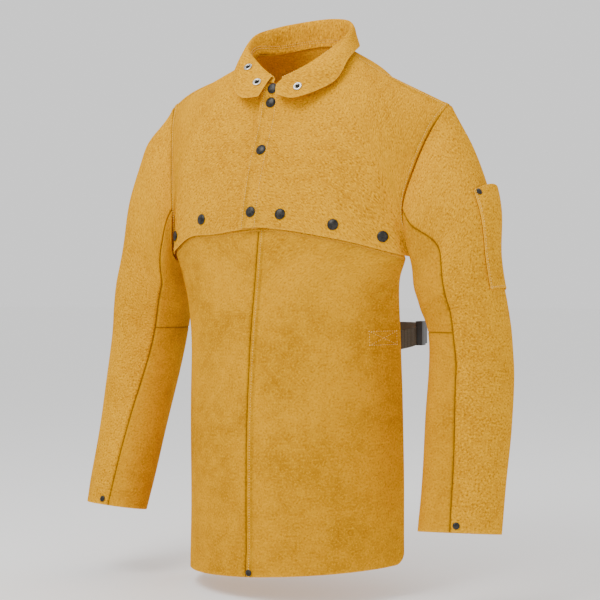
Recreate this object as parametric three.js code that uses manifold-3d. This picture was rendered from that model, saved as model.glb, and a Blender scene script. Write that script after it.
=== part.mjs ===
// Leather welding cape sleeve with a bib held by snaps: a chest cape with two full sleeves, a turned-down
// collar, a bib that snaps under the cape's hem, and a waist strap with a side-release buckle.
// Millimetres, +Z up. The wearer faces -Y and the wearer's left is +X. The origin is the middle of
// the neck opening. Every panel is a flat sheet of leather, a BoxGeometry whose points are moved
// onto a surface that passes through the control points below.
import * as THREE from "three";
import Module from "manifold-3d";

const wasm = await Module();
wasm.setup();

// Driving dimensions
const LEATHER = 1.5; // thickness of every leather panel
const BODY_SCALE = 1; // girth of the cape, 1 is size L
const SLEEVE_LENGTH = 250; // elbow seam to cuff, along the forearm
const BIB_BOTTOM = -714; // height of the bib's hem
const BIB_SLOPE = 0.07; // how far the bib's hem drops from side to side
const STACK = 3.4; // clear distance two snapped layers keep
const OVERLAP = 30; // how far the left front laps over the right front
const CAP_R = 7.5; // snap cap
const CAP_H = 3.3;
const RIVET_R = 4.5;
const STRAP_WIDTH = 25;
const STRAP_THICK = 1.6;
const POCKET_TOP = 1.66; // where on the sleeve the pocket's mouth is, in rings from the armhole
const POCKET_BOTTOM = 3.22;
const BAND = 36; // height of the doubled band along the bib's top

const LEATHER_MAT = () => new THREE.MeshStandardMaterial({ color: 0xe0a22f, roughness: 0.9 });
const CAP_MAT = () => new THREE.MeshStandardMaterial({ color: 0x35322c, roughness: 0.4, metalness: 0.8 });
const STEEL_MAT = () => new THREE.MeshStandardMaterial({ color: 0xb9b7b0, roughness: 0.35, metalness: 1 });
const WEB_MAT = () => new THREE.MeshStandardMaterial({ color: 0x6d6a4c, roughness: 0.85 });
const PLASTIC_MAT = () => new THREE.MeshStandardMaterial({ color: 0x24241f, roughness: 0.5 });

const group = new THREE.Group();
group.name = "welding_cape";

// ---------- splines through control points ----------

// The value at x of a cubic spline through rows of numbers, with knots and one-sided corners.
function spline(rows, knots, x, corner = -1, sharp = 0) {
  const n = rows.length;
  const i = Math.max(0, Math.min(n - 2, knots.findIndex((k, j) => j > 0 && x <= k) - 1));
  const j = x > knots[n - 1] ? n - 2 : i;
  const h = knots[j + 1] - knots[j];
  const t = (x - knots[j]) / h;
  const slope = (k, side) => {
    const one = (p) => rows[0].map((_, c) => (rows[p + 1][c] - rows[p][c]) / (knots[p + 1] - knots[p]));
    const near = one(Math.min(n - 2, Math.max(0, side > 0 ? k : k - 1)));
    if (k === 0 || k === n - 1) return near;
    const before = one(k - 1);
    const after = one(k);
    const central = before.map((b, c) => (b + after[c]) / 2);
    return k === corner ? central.map((m, c) => m + (near[c] - m) * sharp) : central;
  };
  const a = slope(j, 1);
  const b = slope(j + 1, -1);
  const t2 = t * t;
  const t3 = t2 * t;
  return rows[j].map(
    (p, c) =>
      p * (2 * t3 - 3 * t2 + 1) +
      a[c] * h * (t3 - 2 * t2 + t) +
      rows[j + 1][c] * (3 * t2 - 2 * t3) +
      b[c] * h * (t3 - t2),
  );
}

const range = (n) => Array.from({ length: n }, (_, i) => i);

// A surface through rays of control points: u runs over the rays, v along each ray.
function net(rays, corner = -1) {
  const vk = range(rays[0].length);
  const last = rays.length - 1;
  const whole = corner < 0;
  // A half surface is continued past its first ray by the mirror image of the second.
  const uk = whole ? range(rays.length) : range(rays.length + 1).map((i) => i - 1);
  return (u, v) => {
    const at = rays.map((ray) => spline(ray, vk, v * (ray.length - 1)));
    if (!whole) at.unshift(at[1].map((c, k) => (k ? c : -c)));
    const sharp = Math.pow(Math.min(1, Math.max(0, v)), 6);
    return new THREE.Vector3(...spline(at, uk, u * last, whole ? -1 : corner + 1, sharp));
  };
}

const mirror = (p) => new THREE.Vector3(-p.x, p.y, p.z);

// The unit normal of surface f at (u, v), by small differences.
function normalOf(f, u, v) {
  const e = 1e-3;
  const du = f(u + e, v).sub(f(u - e, v));
  const dv = f(u, v + e).sub(f(u, v - e));
  return du.cross(dv).normalize();
}

// ---------- solids ----------

// A sheet between offsets lo and hi of surface f over u0..u1, v0..v1. out is +1 or -1, whichever
// makes the surface's normal point away from the wearer.
function sheet(f, [u0, u1], [v0, v1], [nu, nv], [lo, hi], out) {
  const g = new THREE.BoxGeometry(1, 1, 1, nu, nv, 1);
  const pos = g.getAttribute("position");
  const cache = new Map();
  for (let i = 0; i < pos.count; i++) {
    const s = pos.getX(i) + 0.5;
    const t = pos.getY(i) + 0.5;
    const w = pos.getZ(i) > 0 ? 1 : 0;
    const key = s.toFixed(4) + "," + t.toFixed(4);
    if (!cache.has(key)) {
      const v = v0 + (v1 - v0) * t;
      const a = typeof u0 === "function" ? u0(v) : u0;
      const b = typeof u1 === "function" ? u1(v) : u1;
      const u = a + (b - a) * s;
      cache.set(key, { p: f(u, v), n: normalOf(f, u, v).multiplyScalar(out), u, v });
    }
    const c = cache.get(key);
    const off = w ? (typeof hi === "function" ? hi(c.u, c.v) : hi) : typeof lo === "function" ? lo(c.u, c.v) : lo;
    const q = c.p.clone().addScaledVector(c.n, off);
    pos.setXYZ(i, q.x, q.y, q.z);
  }
  g.deleteAttribute("normal");
  g.deleteAttribute("uv");
  return g;
}

function weld(g) {
  const src = g.index ? g.toNonIndexed() : g;
  const p = src.getAttribute("position");
  const ids = new Map();
  const verts = [];
  const tris = [];
  for (let i = 0; i < p.count; i++) {
    const key = [p.getX(i), p.getY(i), p.getZ(i)].map((x) => Math.round(x * 1e4)).join(",");
    if (!ids.has(key)) {
      ids.set(key, verts.length / 3);
      verts.push(p.getX(i), p.getY(i), p.getZ(i));
    }
    tris.push(ids.get(key));
  }
  const keep = [];
  for (let i = 0; i < tris.length; i += 3)
    if (tris[i] !== tris[i + 1] && tris[i + 1] !== tris[i + 2] && tris[i] !== tris[i + 2])
      keep.push(tris[i], tris[i + 1], tris[i + 2]);
  return { verts, tris: keep };
}

// A manifold solid from a geometry, turned right side out.
function solid(g) {
  const { verts, tris } = weld(g);
  const build = (t) =>
    new wasm.Manifold(
      new wasm.Mesh({ numProp: 3, vertProperties: Float32Array.from(verts), triVerts: Uint32Array.from(t) }),
    );
  const first = build(tris);
  if (first.volume() > 0) return first;
  const turned = tris.slice();
  for (let i = 0; i < turned.length; i += 3) [turned[i + 1], turned[i + 2]] = [tris[i + 2], tris[i + 1]];
  return build(turned);
}

function addSolid(name, s, mat) {
  const m = s.getMesh();
  const v = new Float32Array(m.numVert * 3);
  for (let i = 0; i < m.numVert; i++)
    for (let c = 0; c < 3; c++) v[i * 3 + c] = m.vertProperties[i * m.numProp + c];
  const g = new THREE.BufferGeometry();
  g.setAttribute("position", new THREE.BufferAttribute(v, 3));
  g.setIndex(new THREE.BufferAttribute(m.triVerts, 1));
  g.computeVertexNormals();
  const mesh = new THREE.Mesh(g, mat);
  mesh.name = name;
  group.add(mesh);
  return mesh;
}

const add = (name, g, mat) => addSolid(name, solid(g), mat);

// A turned part on the axis through p along n. profile is a list of [radius, height along n].
function turned(profile, p, n, segments = 12) {
  const g = new THREE.LatheGeometry(profile.map(([r, h]) => new THREE.Vector2(r, h)), segments);
  const q = new THREE.Quaternion().setFromUnitVectors(new THREE.Vector3(0, 1, 0), n);
  g.applyQuaternion(q);
  g.translate(p.x, p.y, p.z);
  g.deleteAttribute("normal");
  g.deleteAttribute("uv");
  return g;
}

// A box with its own axes: centre c, half sizes along unit vectors a, b and their cross product.
function orientedBox(c, a, b, size) {
  const g = new THREE.BoxGeometry(...size);
  const m = new THREE.Matrix4().makeBasis(a, b, a.clone().cross(b));
  g.applyMatrix4(m);
  g.translate(c.x, c.y, c.z);
  return g;
}

// ---------- the cape ----------

// Each ray runs from the neck seam to the hem or the armhole, from the centre front to the shoulder.
const wide = (ray) => ray.map(([x, y, z]) => [x * BODY_SCALE, y * BODY_SCALE, z]);
const FRONT_RAYS = [
  [[0, -70, -50], [0, -84, -105], [0, -106, -155], [0, -123, -205], [0, -133, -252]],
  [[22, -68, -45], [52, -84, -99], [80, -99, -150], [97, -108, -206], [107, -113, -268]],
  [[41, -60, -34], [84, -78, -87], [125, -88, -142], [153, -87, -208], [172, -81, -286]],
  [[52, -49, -24], [98, -71, -77], [138, -80, -138], [168, -76, -210], [190, -60, -291]],
  [[60, -36, -14], [101, -60, -60], [137, -72, -109], [165, -75, -165], [182, -71, -230]],
  [[66, -22, -5], [108, -45, -46], [143, -56, -87], [171, -58, -130], [191, -53, -172]],
  [[69, -10, 2], [111, -23, -30], [148, -31, -62], [180, -31, -92], [205, -27, -118]],
  [[70, 2, 6], [112, 2, -25], [150, 1, -47], [187, 0, -67], [219, 0, -85]],
].map(wide);
const BACK_RAYS = [
  [[0, 62, 24], [0, 90, -28], [0, 105, -98], [0, 112, -176], [0, 115, -258]],
  [[24, 59, 22], [55, 85, -28], [82, 98, -98], [98, 103, -180], [107, 103, -272]],
  [[41, 51, 18], [88, 73, -30], [128, 81, -98], [154, 80, -180], [172, 75, -287]],
  [[53, 40, 14], [104, 62, -27], [144, 68, -90], [173, 62, -180], [191, 50, -291]],
  [[61, 29, 11], [107, 50, -23], [144, 59, -74], [171, 59, -140], [187, 54, -215]],
  [[66, 18, 9], [110, 34, -25], [147, 43, -63], [177, 46, -105], [197, 42, -155]],
  [[69, 9, 7], [112, 17, -26], [149, 22, -55], [183, 24, -84], [210, 22, -112]],
  [[70, 2, 6], [112, 2, -25], [150, 1, -47], [187, 0, -67], [219, 0, -85]],
].map(wide);
const CORNER = 3;
// The garment hangs a little unevenly: its right shoulder is higher and wider than its left one, and
// the neck opening and the front edges stand towards the wearer's right.
const NECK_SHIFT = -12;
const LIFT = { side: 8, shoulder: 20, wide: 12, hem: 7 };
const { smoothstep } = THREE.MathUtils;
function lean(p) {
  if (p.x >= 0) return p;
  const x = p.x / BODY_SCALE;
  const k = smoothstep(-x, 0, 160);
  const tip = smoothstep(-x, 85, 200);
  const h = smoothstep(p.z, -290, -90);
  const arch = Math.exp(-(((x + 135) / 38) ** 2)) * (1 - h);
  const arm = smoothstep(-p.z, 330, 420);
  return new THREE.Vector3(
    p.x - LIFT.wide * tip * h,
    p.y,
    p.z + k * LIFT.side * (1 - arm) + tip * LIFT.shoulder * h + LIFT.hem * arch * (1 - arm),
  );
}
const settle = (p, v) => {
  const q = lean(p);
  q.x += NECK_SHIFT * Math.max(0, 1 - v);
  return q;
};
const frontNet = net(FRONT_RAYS, CORNER);
const backNet = net(BACK_RAYS, CORNER);
// Both fronts in one surface: u from -1, the right shoulder, over 0, the centre, to 1.
const front = (u, v) => settle(u < 0 ? mirror(frontNet(-u, v)) : frontNet(u, v), v);
const back = (u, v) => settle(u < 0 ? mirror(backNet(-u, v)) : backNet(u, v), v);

// The u at which the front surface reaches x at height parameter v.
function uAtX(f, x, v) {
  let lo = -0.6;
  let hi = 0.6;
  for (let i = 0; i < 30; i++) {
    const mid = (lo + hi) / 2;
    if (f(mid, v).x < x) lo = mid;
    else hi = mid;
  }
  return lo;
}
const RISE = LEATHER + STACK; // height of the lapping front over the one below
const EDGE = 0.006;
const TOP = 0.006;
const overlapU = (v) => uAtX(front, -OVERLAP, v);
// The left front rides over the right front near the centre and comes down beyond it.
const lap = (u, v) => {
  const x = front(u, v).x;
  return RISE * (1 - smoothstep(x, 3, 19));
};

const columns = (n) => Math.round(n * BODY_SCALE); // facets keep their width on a wider body
const cape = {};
cape.left = solid(
  sheet(front, [overlapU, 1 - EDGE], [TOP, 1 - EDGE], [columns(20), 10], [(u, v) => lap(u, v) - LEATHER, lap], -1),
);
cape.right = solid(
  sheet(front, [-1 + EDGE, (v) => uAtX(front, -4, v)], [TOP, 1 - EDGE], [columns(18), 10], [-LEATHER, 0], -1),
);
cape.back = solid(sheet(back, [-1 + EDGE, 1 - EDGE], [TOP, 1 - EDGE], [columns(30), 10], [-LEATHER, 0], 1));

// ---------- the collar ----------

// Rays of the collar from its right front end round the back to its left one: the standing part from
// the neck seam to the fold, and the part that is turned down, from the fold to its outer edge.
const STAND = [
  [[-13, -71, -46], [-14, -71, -40]],
  [[-34, -66, -41], [-33, -62, -28]],
  [[-54, -57, -29], [-52, -53, -13]],
  [[-74, -32, -6], [-74, -38, 7]],
  [[-82, 0, 12], [-87, 2, 33]],
  [[-71, 34, 18], [-72, 38, 50]],
  [[-50, 55, 24], [-47, 59, 58]],
  [[-12, 64, 27], [-12, 67, 61]],
  [[26, 55, 22], [19, 60, 57]],
  [[46, 34, 15], [46, 36, 46]],
  [[57, 2, 10], [62, 6, 28]],
  [[53, -26, -4], [57, -25, 4]],
  [[39, -50, -22], [45, -52, -17]],
  [[21, -64, -37], [26, -68, -33]],
  [[0, -71, -47], [3, -78, -44]],
].map(wide);
const FALL = [
  [[-17, -74, -40], [-22, -83, -53], [-27, -92, -68]],
  [[-35, -67, -28], [-44, -82, -46], [-52, -95, -68]],
  [[-55, -58, -12], [-67, -72, -31], [-75, -80, -51]],
  [[-78, -41, 8], [-87, -47, -7], [-92, -51, -22]],
  [[-91, 1, 35], [-97, 2, 22], [-101, 5, 5]],
  [[-76, 40, 51], [-82, 44, 34], [-88, 50, 15]],
  [[-50, 63, 59], [-54, 69, 40], [-58, 76, 18]],
  [[-12, 71, 62], [-12, 76, 42], [-12, 81, 20]],
  [[21, 64, 58], [26, 69, 38], [30, 74, 18]],
  [[50, 39, 47], [54, 43, 31], [57, 47, 14]],
  [[66.5, 6, 29.5], [71, 8, 18], [77, 8, 5]],
  [[62.5, -26, 5], [74, -33, -5], [85, -38, -18]],
  [[49, -55, -16], [63, -68, -31], [79, -70, -53]],
  [[29, -71, -32], [33, -85, -50], [36, -97, -74]],
  [[5, -81, -44], [-1, -87, -53], [0, -92, -67]],
].map(wide);
const stand = net(STAND);
const fall = net(FALL);
const collarStand = solid(sheet(stand, [0, 1], [0.02, 1], [40, 2], [-LEATHER, 0], 1));
const tuck = (u, v) => -0.55 * (1 - smoothstep(v, 0, 0.3)); // the fall starts close to the fold
let collarFall = solid(
  sheet(fall, [0, 1], [0, 1], [40, 4], [(u, v) => tuck(u, v) - LEATHER, tuck], 1),
);

// ---------- the sleeves ----------

const DEG = Math.PI / 180;
const ANGLES = [0, 30, 60, 90, 135, 180, 225, 270, 300, 330];
// A ring of ten points: centre, long and short half widths, turn of the numbering and tilts.
const ring = ([x, y, z], long, short, turn, tx, ty) =>
  ANGLES.map((a) => {
    const b = (a + turn + 30) * DEG;
    const dx = long * Math.cos(b) * Math.cos(30 * DEG) + short * Math.sin(b) * Math.sin(30 * DEG);
    const dy = long * Math.cos(b) * Math.sin(30 * DEG) - short * Math.sin(b) * Math.cos(30 * DEG);
    return [x + dx, y + dy, z + tx * dx + ty * dy];
  });
const ELBOW = [258, -23, -390];
const FOREARM = [0.05, -0.25, -0.967];
const along = (k) => ELBOW.map((c, i) => c + FOREARM[i] * SLEEVE_LENGTH * k);
// A wider body carries the sleeves outwards, and share tells how much of the armhole's widening a
// ring takes.
const ARM_X = 195;
const carried = (share) => ([x, y, z]) => [
  x * (1 + (BODY_SCALE - 1) * share) + ARM_X * (BODY_SCALE - 1) * (1 - share),
  y * (1 + (BODY_SCALE - 1) * share),
  z,
];
const RINGS = [
  // the armhole
  [
    [219, 0, -85], [205, -27, -118], [191, -53, -172], [182, -71, -230], [190, -60, -291],
    [198, 0, -299], [191, 50, -291], [187, 54, -215], [197, 42, -155], [210, 22, -112],
  ].map(([x, y, z]) => [x * BODY_SCALE, y * BODY_SCALE, z]),
  // where the sleeve starts to hang free
  [
    [250, 4, -146], [244, -38, -160], [222, -70, -198], [199, -83, -250], [193, -63, -303],
    [196, -6, -314], [193, 46, -303], [203, 57, -238], [223, 50, -188], [241, 29, -158],
  ].map(carried(1)),
  // half way to the elbow's bend
  [
    [290, -26, -230], [284, -56, -236], [264, -76, -254], [238, -83, -280], [199, -69, -327],
    [192, -19, -338], [199, 31, -329], [227, 45, -288], [262, 28, -256], [283, 3, -237],
  ].map(carried(0.5)),
  ring([247, -28, -338], 54, 57, 0, 0.4, 0).map(carried(0)),
  ring(ELBOW, 56, 57, 0, 0, 0).map(carried(0)),
  ring(along(0.48).map((c, i) => c + [2, 5, 0][i]), 56, 48, -6, 0.052, -0.2).map(carried(0)),
  ring(along(1.05), 53.5, 41, -12, 0.052, -0.17).map(carried(0)),
];
const T_KNOTS = [0, 60, 135, 200, 252, 372, 507];
const THETA_KNOTS = range(ANGLES.length + 9).map((i) => i - 4);
// theta is counted in control points round the arm, 0 outside, 2.5 in front, 5 inside; t in rings.
function leftSleeve(theta, t) {
  const n = ANGLES.length;
  const x = t <= 0 ? t * 60 : T_KNOTS[Math.min(5, Math.floor(t))] +
    (t - Math.min(5, Math.floor(t))) * (T_KNOTS[Math.min(5, Math.floor(t)) + 1] - T_KNOTS[Math.min(5, Math.floor(t))]);
  const at = THETA_KNOTS.map((k) => spline(RINGS.map((r) => r[((k % n) + n) % n]), T_KNOTS, x));
  return new THREE.Vector3(...spline(at, THETA_KNOTS, theta));
}
const CUTS = [0, 1, 4, 6]; // armhole, raise line, elbow seam, cuff
const TH = 0.009; // half of a seam gap round the arm
const RIGHT_LONGER = 4; // the right cuff hangs lower
const sides = {
  left: leftSleeve,
  right: (a, b) => {
    const p = lean(mirror(leftSleeve(a, b)));
    p.z -= RIGHT_LONGER * smoothstep(-p.z, 400, 640);
    const full = Math.exp(-(((p.z + 100) / 48) ** 2)) * smoothstep(b, 0, 0.8);
    const slim = Math.exp(-(((p.z + 240) / 60) ** 2)) * smoothstep(b, 0.4, 1.6);
    p.x += (9 * slim - 18 * full) * smoothstep(-p.x / BODY_SCALE, 200, 235);
    return p;
  },
};
// Where the front and back seams of each sleeve run, in control points round the arm.
const SEAMS = {
  left: { front: () => 3, back: () => 7 },
  right: { front: (t) => 3 + 0.95 * smoothstep(t, 0, 2.5) - 0.4 * smoothstep(t, 4, 6), back: () => 7.2 },
};
const sleeves = {};
for (const [side, f] of Object.entries(sides)) {
  const out = side === "left" ? 1 : -1;
  const seam = SEAMS[side];
  const gaps = [0.012, 0.02, 0.006];
  const rows = [4, 10, 8];
  ["cap", "upper", "lower"].forEach((part, i) => {
    const span = [CUTS[i] + gaps[i], CUTS[i + 1] - [0.012, 0.004, 0][i]];
    sleeves[`sleeve_outer_${part}_${side}`] = solid(
      sheet(f, [(t) => seam.back(t) - 10 + TH, (t) => seam.front(t) - TH], span, [15, rows[i]], [-LEATHER, 0], out),
    );
    sleeves[`sleeve_under_${part}_${side}`] = solid(
      sheet(f, [(t) => seam.front(t) + TH, (t) => seam.back(t) - TH], span, [11, rows[i]], [-LEATHER, 0], out),
    );
  });
}

// Where the cap turns in under the arm its lower edge is trimmed back from the sleeve below it.
for (const [side, f] of Object.entries(sides)) {
  const seam = SEAMS[side];
  const rim = (u0, u1) =>
    solid(sheet(f, [u0, u1], [0.972, 1.4], [24, 4], [-LEATHER - 1.2, 1.2], side === "left" ? 1 : -1));
  const under = `sleeve_under_cap_${side}`;
  const outer = `sleeve_outer_cap_${side}`;
  sleeves[under] = sleeves[under].subtract(rim((t) => seam.front(t) - 0.02, (t) => seam.back(t) + 0.02));
  sleeves[outer] = sleeves[outer].subtract(rim((t) => seam.back(t) - 10.02, (t) => seam.front(t) + 0.02));
}

// Pocket for pencils on the outside of the left sleeve, closed below and at both sides.
const POCKET = [-1.75, 0.95]; // round the arm
const mouth = (u, v) => {
  const a = (u - POCKET[0]) / (POCKET[1] - POCKET[0]);
  const h = 1 - smoothstep(v, POCKET_TOP, POCKET_TOP + 1.1);
  return 0.7 + 10 * Math.sin(Math.PI * Math.min(1, Math.max(0, a))) * h;
};
let pocket = solid(
  sheet(leftSleeve, POCKET, [POCKET_TOP, POCKET_BOTTOM], [8, 6], [mouth, (u, v) => mouth(u, v) + LEATHER], 1),
);

// ---------- the bib ----------

// The band lies behind the cape's hem, at the distance the snaps keep.
const CLEAR = LEATHER + STACK;
const hemV = (u, drop) => {
  const len = front(u, 1).distanceTo(front(u, 0.8)) / 0.2;
  return 1 - drop / len;
};
const BIB_U = 0.395; // half width of the bib on the cape's surface
const behind = (u, drop) => {
  const v = hemV(u, drop);
  return front(u, v).addScaledVector(normalOf(front, u, v).multiplyScalar(-1), -CLEAR);
};
// The overlapping front edge ends on the other side of the centre, so the band passes behind it.
const BAND_END = -1.5; // the band reaches this far below the cape's hem
const BIB_START = BAND_END - 1.2; // and the two panels start a little lower
const bandSurface = (u, v) => behind(u * BIB_U, BAND * (1 - v) + BAND_END * v);
const bibBand = solid(sheet(bandSurface, [-1, 1], [0, 1], [columns(24), 3], [-LEATHER, 0], -1));

const section = (z, a, b, edge) =>
  range(5).map((i) => {
    const phi = (edge * i * DEG) / 4;
    return [a * BODY_SCALE * Math.sin(phi), -b * BODY_SCALE * Math.cos(phi), z];
  });
const topRow = range(5).map((i) => behind((BIB_U * i) / 4, BIB_START).toArray());
const BIB_TOP = -256;
const WAIST = -403;
// Below the waist the rows share out the bib's length; above it they keep their heights.
const below = (k) => WAIST + (BIB_BOTTOM - WAIST) * k;
const BIB_ROWS = [
  topRow,
  section(-332, 186, 142, 67),
  section(WAIST, 171, 152, 75),
  section(below(0.248), 169, 159, 78),
  section(below(0.514), 168, 162, 79),
  section(BIB_BOTTOM, 168, 163, 80),
];
const topMirrored = [topRow[1].map((c, k) => (k ? c : -c)), ...topRow];
const BIB_KNOTS = BIB_ROWS.map((row, i) => (i ? BIB_TOP - row[0][2] : 0));
const BIB_LENGTH = BIB_KNOTS[5];
function bibSurface(u, v) {
  const side = u < 0 ? -1 : 1;
  const x = v * BIB_LENGTH;
  const at = range(5).map((i) => spline(BIB_ROWS.map((row) => row[i]), BIB_KNOTS, x));
  const mirrored = [at[1].map((c, k) => (k ? c : -c)), ...at];
  const p = spline(mirrored, [-1, 0, 1, 2, 3, 4], Math.abs(u) * 4);
  const near = 1 - smoothstep(x, 0, 92); // how closely it follows the cape's hem
  const exact = behind(u * BIB_U, BIB_START);
  const slope = BIB_SLOPE * side * p[0] * Math.max(0, Math.min(1.15, v));
  const top = spline(topMirrored, [-1, 0, 1, 2, 3, 4], Math.abs(u) * 4);
  return new THREE.Vector3(
    side * p[0] + (exact.x - side * top[0]) * near,
    p[1] + (exact.y - top[1]) * near,
    p[2] + slope + (exact.z - top[2]) * near,
  );
}
const BIB_SEAM = -0.012; // the seam stands a little to the wearer's right of the centre
const BU = 0.0012;
const bib = {
  right: solid(sheet(bibSurface, [-1, BIB_SEAM - BU], [0, 1], [columns(12), 14], [-LEATHER, 0], -1)),
  left: solid(sheet(bibSurface, [BIB_SEAM + BU, 1], [0, 1], [columns(12), 14], [-LEATHER, 0], -1)),
};

// ---------- the waist strap ----------

const STRAP_Z = -402;
const STRAP_V = (BIB_TOP - STRAP_Z) / BIB_LENGTH; // where the bib's surface has that height
// Horizontal path round the waist: inside the bib, then behind the wearer.
const strapAt = (phi) => {
  const a = (171 - 0.4 - LEATHER) * BODY_SCALE;
  const rear = Math.abs(phi) > 90;
  const b = (rear ? 128 : 152 - 0.4 - LEATHER) * BODY_SCALE;
  return [a * Math.sin(phi * DEG), -b * Math.cos(phi * DEG)];
};
const strapZ = (phi) => STRAP_Z + 10 * smoothstep(Math.abs(phi), 70, 110);
// The bib flares over the strap's height, and more so on a wider body.
const STRAP_ROOM = 1.5 + 2 * (BODY_SCALE - 1);
const insideBib = (u) => {
  const n = normalOf(bibSurface, u, STRAP_V).multiplyScalar(-1);
  return bibSurface(u, STRAP_V).addScaledVector(n, -LEATHER - STRAP_ROOM);
};
// Angles round the waist where the left end stops, where the buckle sits and where the right end stops.
const LEFT_END = 90.4;
const BUCKLE_PHI = LEFT_END + 10.6 / BODY_SCALE;
const RIGHT_END = 360 - BUCKLE_PHI - 19.8 / BODY_SCALE;
function strapCurve(side, phis) {
  const s = side === "left" ? 1 : -1;
  const pts = [0.72, 0.8, 0.88, 0.985].map((u) => insideBib(s * u));
  phis.forEach((phi) => {
    const [x, y] = strapAt(phi);
    pts.push(new THREE.Vector3(s * x, y, strapZ(phi)));
  });
  pts.forEach((p, i) => {
    if (i < 4) p.z = STRAP_Z;
  });
  return new THREE.CatmullRomCurve3(pts, false, "centripetal");
}
function ribbon(curve, width, thick, n, out) {
  const g = new THREE.BoxGeometry(1, 1, 1, n, 1, 1);
  const pos = g.getAttribute("position");
  for (let i = 0; i < pos.count; i++) {
    const t = Math.min(1, Math.max(0, pos.getX(i) + 0.5));
    const p = curve.getPointAt(t);
    const d = curve.getTangentAt(t);
    const side = new THREE.Vector3(d.y, -d.x, 0).normalize();
    p.addScaledVector(side, -out * thick * (0.5 - pos.getZ(i)));
    p.z += pos.getY(i) * width;
    pos.setXYZ(i, p.x, p.y, p.z);
  }
  g.deleteAttribute("normal");
  g.deleteAttribute("uv");
  return g;
}
const tangentAt = (phi) => {
  const a = strapAt(phi - 0.5);
  const b = strapAt(phi + 0.5);
  return new THREE.Vector3(b[0] - a[0], b[1] - a[1], 0).normalize();
};

// ---------- snaps and rivets ----------

const HOLE = 3.0;
const capProfile = [
  [0, -LEATHER - 0.5], [2.6, -LEATHER - 0.5], [2.6, 0.3], [CAP_R - 0.3, 0.3], [CAP_R, 0.9],
  [CAP_R * 0.92, CAP_H * 0.6], [CAP_R * 0.66, CAP_H * 0.86], [CAP_R * 0.33, CAP_H * 0.97], [0, CAP_H],
];
const socketProfile = [
  [3.1, -LEATHER - 0.3], [3.1, -LEATHER - 2.1], [6, -LEATHER - 2.1], [6.2, -LEATHER - 1.2],
  [5.6, -LEATHER - 0.3], [3.1, -LEATHER - 0.3],
];
const D = LEATHER + STACK; // depth of the lower layer's outer face
const studProfile = [
  [0, -D - LEATHER - 1.1], [4.6, -D - LEATHER - 1.1], [4.8, -D - LEATHER - 0.3], [1.9, -D - LEATHER - 0.3],
  [1.9, -D + 0.3], [5.2, -D + 0.3], [5.2, -D + 0.95], [2.2, -D + 1.0], [2.6, -D + 2.0], [2.1, -D + 2.4], [0, -D + 2.5],
];
const holeCut = (r, p, n, top, bottom) => solid(turned([[0, bottom], [r, bottom], [r, top], [0, top]], p, n, 14));
// A hole of radius r through one layer whose outer face is at height top, and the flat seats that the
// pressed metal makes in the leather round it.
function pierce(panel, p, n, r, top, seat) {
  return panel
    .subtract(holeCut(r, p, n, top + 1.5, top - LEATHER - 1.5))
    .subtract(holeCut(seat, p, n, top + 3.5, top))
    .subtract(holeCut(seat, p, n, top - LEATHER, top - LEATHER - 3.2));
}

function uvAtX(f, x, drop) {
  let u = uAtX(f, x, 0.9);
  let v = 1;
  for (let i = 0; i < 6; i++) {
    v = hemV(u, drop);
    u = uAtX(f, x, v);
  }
  return [u, v];
}
// Five snaps that hold the bib, and four that close the front, the first one at the neck.
const HEM_SNAPS = [[-174, 22], [-108, 22], [29, 21], [101, 19], [161, 20]]; // x, height over the hem
const PLACKET_V = { neck_snap: 0.036, front_snap_1: 0.125, front_snap_2: 0.455, front_snap_3: 0.885 };
let { left: capeLeft, right: capeRight } = cape;
let band = bibBand;
const snaps = [];
HEM_SNAPS.forEach(([x, drop], i) => {
  const [u, v] = uvAtX(front, x * BODY_SCALE, drop);
  const n = normalOf(front, u, v).multiplyScalar(-1);
  snaps.push({ name: `hem_snap_${i + 1}`, p: front(u, v), n, layer: x > 0 ? "left" : "right", under: "band" });
});
Object.entries(PLACKET_V).forEach(([name, v]) => {
  const u = uAtX(front, -13, v);
  const n = normalOf(front, u, v).multiplyScalar(-1);
  const p = front(u, v).addScaledVector(n, RISE);
  snaps.push({ name, p, n, layer: "left", under: "right" });
});
for (const s of snaps) {
  if (s.layer === "left") capeLeft = pierce(capeLeft, s.p, s.n, HOLE, 0, CAP_R + 0.4);
  else capeRight = pierce(capeRight, s.p, s.n, HOLE, 0, CAP_R + 0.4);
  if (s.under === "band") band = pierce(band, s.p, s.n, 2.2, -D, 6);
  else capeRight = pierce(capeRight, s.p, s.n, 2.2, -D, 6);
}

const rivetProfile = (depth) => [
  [0, -depth - 1.3], [3.4, -depth - 1.3], [3.6, -depth - 0.3], [1.6, -depth - 0.3], [1.6, 0.3],
  [RIVET_R, 0.3], [RIVET_R, 0.8], [RIVET_R * 0.7, 1.7], [0, 2.1],
];
const rivets = [];
function rivet(name, f, u, v, out, layers, lift = 0) {
  const n = normalOf(f, u, v).multiplyScalar(out);
  const p = f(u, v).addScaledVector(n, lift);
  rivets.push({ name, p, n, depth: lift + LEATHER });
  return layers.map((s, i) => pierce(s, p, n, 2, i ? 0 : -lift, RIVET_R + 0.4));
}
{
  const a = rivet("rivet_bib_hem", bibSurface, BIB_SEAM + 0.022, 0.987, -1, [bib.left]);
  bib.left = a[0];
  for (const side of ["left", "right"]) {
    const key = `sleeve_outer_lower_${side}`;
    [sleeves[key]] = rivet(`rivet_cuff_${side}`, sides[side], SEAMS[side].front(6) - 0.26, 5.945, side === "left" ? 1 : -1, [sleeves[key]]);
  }
  const key = "sleeve_outer_upper_left";
  const u = POCKET[1] - 0.16;
  const v = POCKET_TOP + 0.06;
  const lift = mouth(u, v) + LEATHER;
  [sleeves[key], pocket] = rivet("rivet_pocket", leftSleeve, u, v, 1, [sleeves[key], pocket], lift);
}

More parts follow.
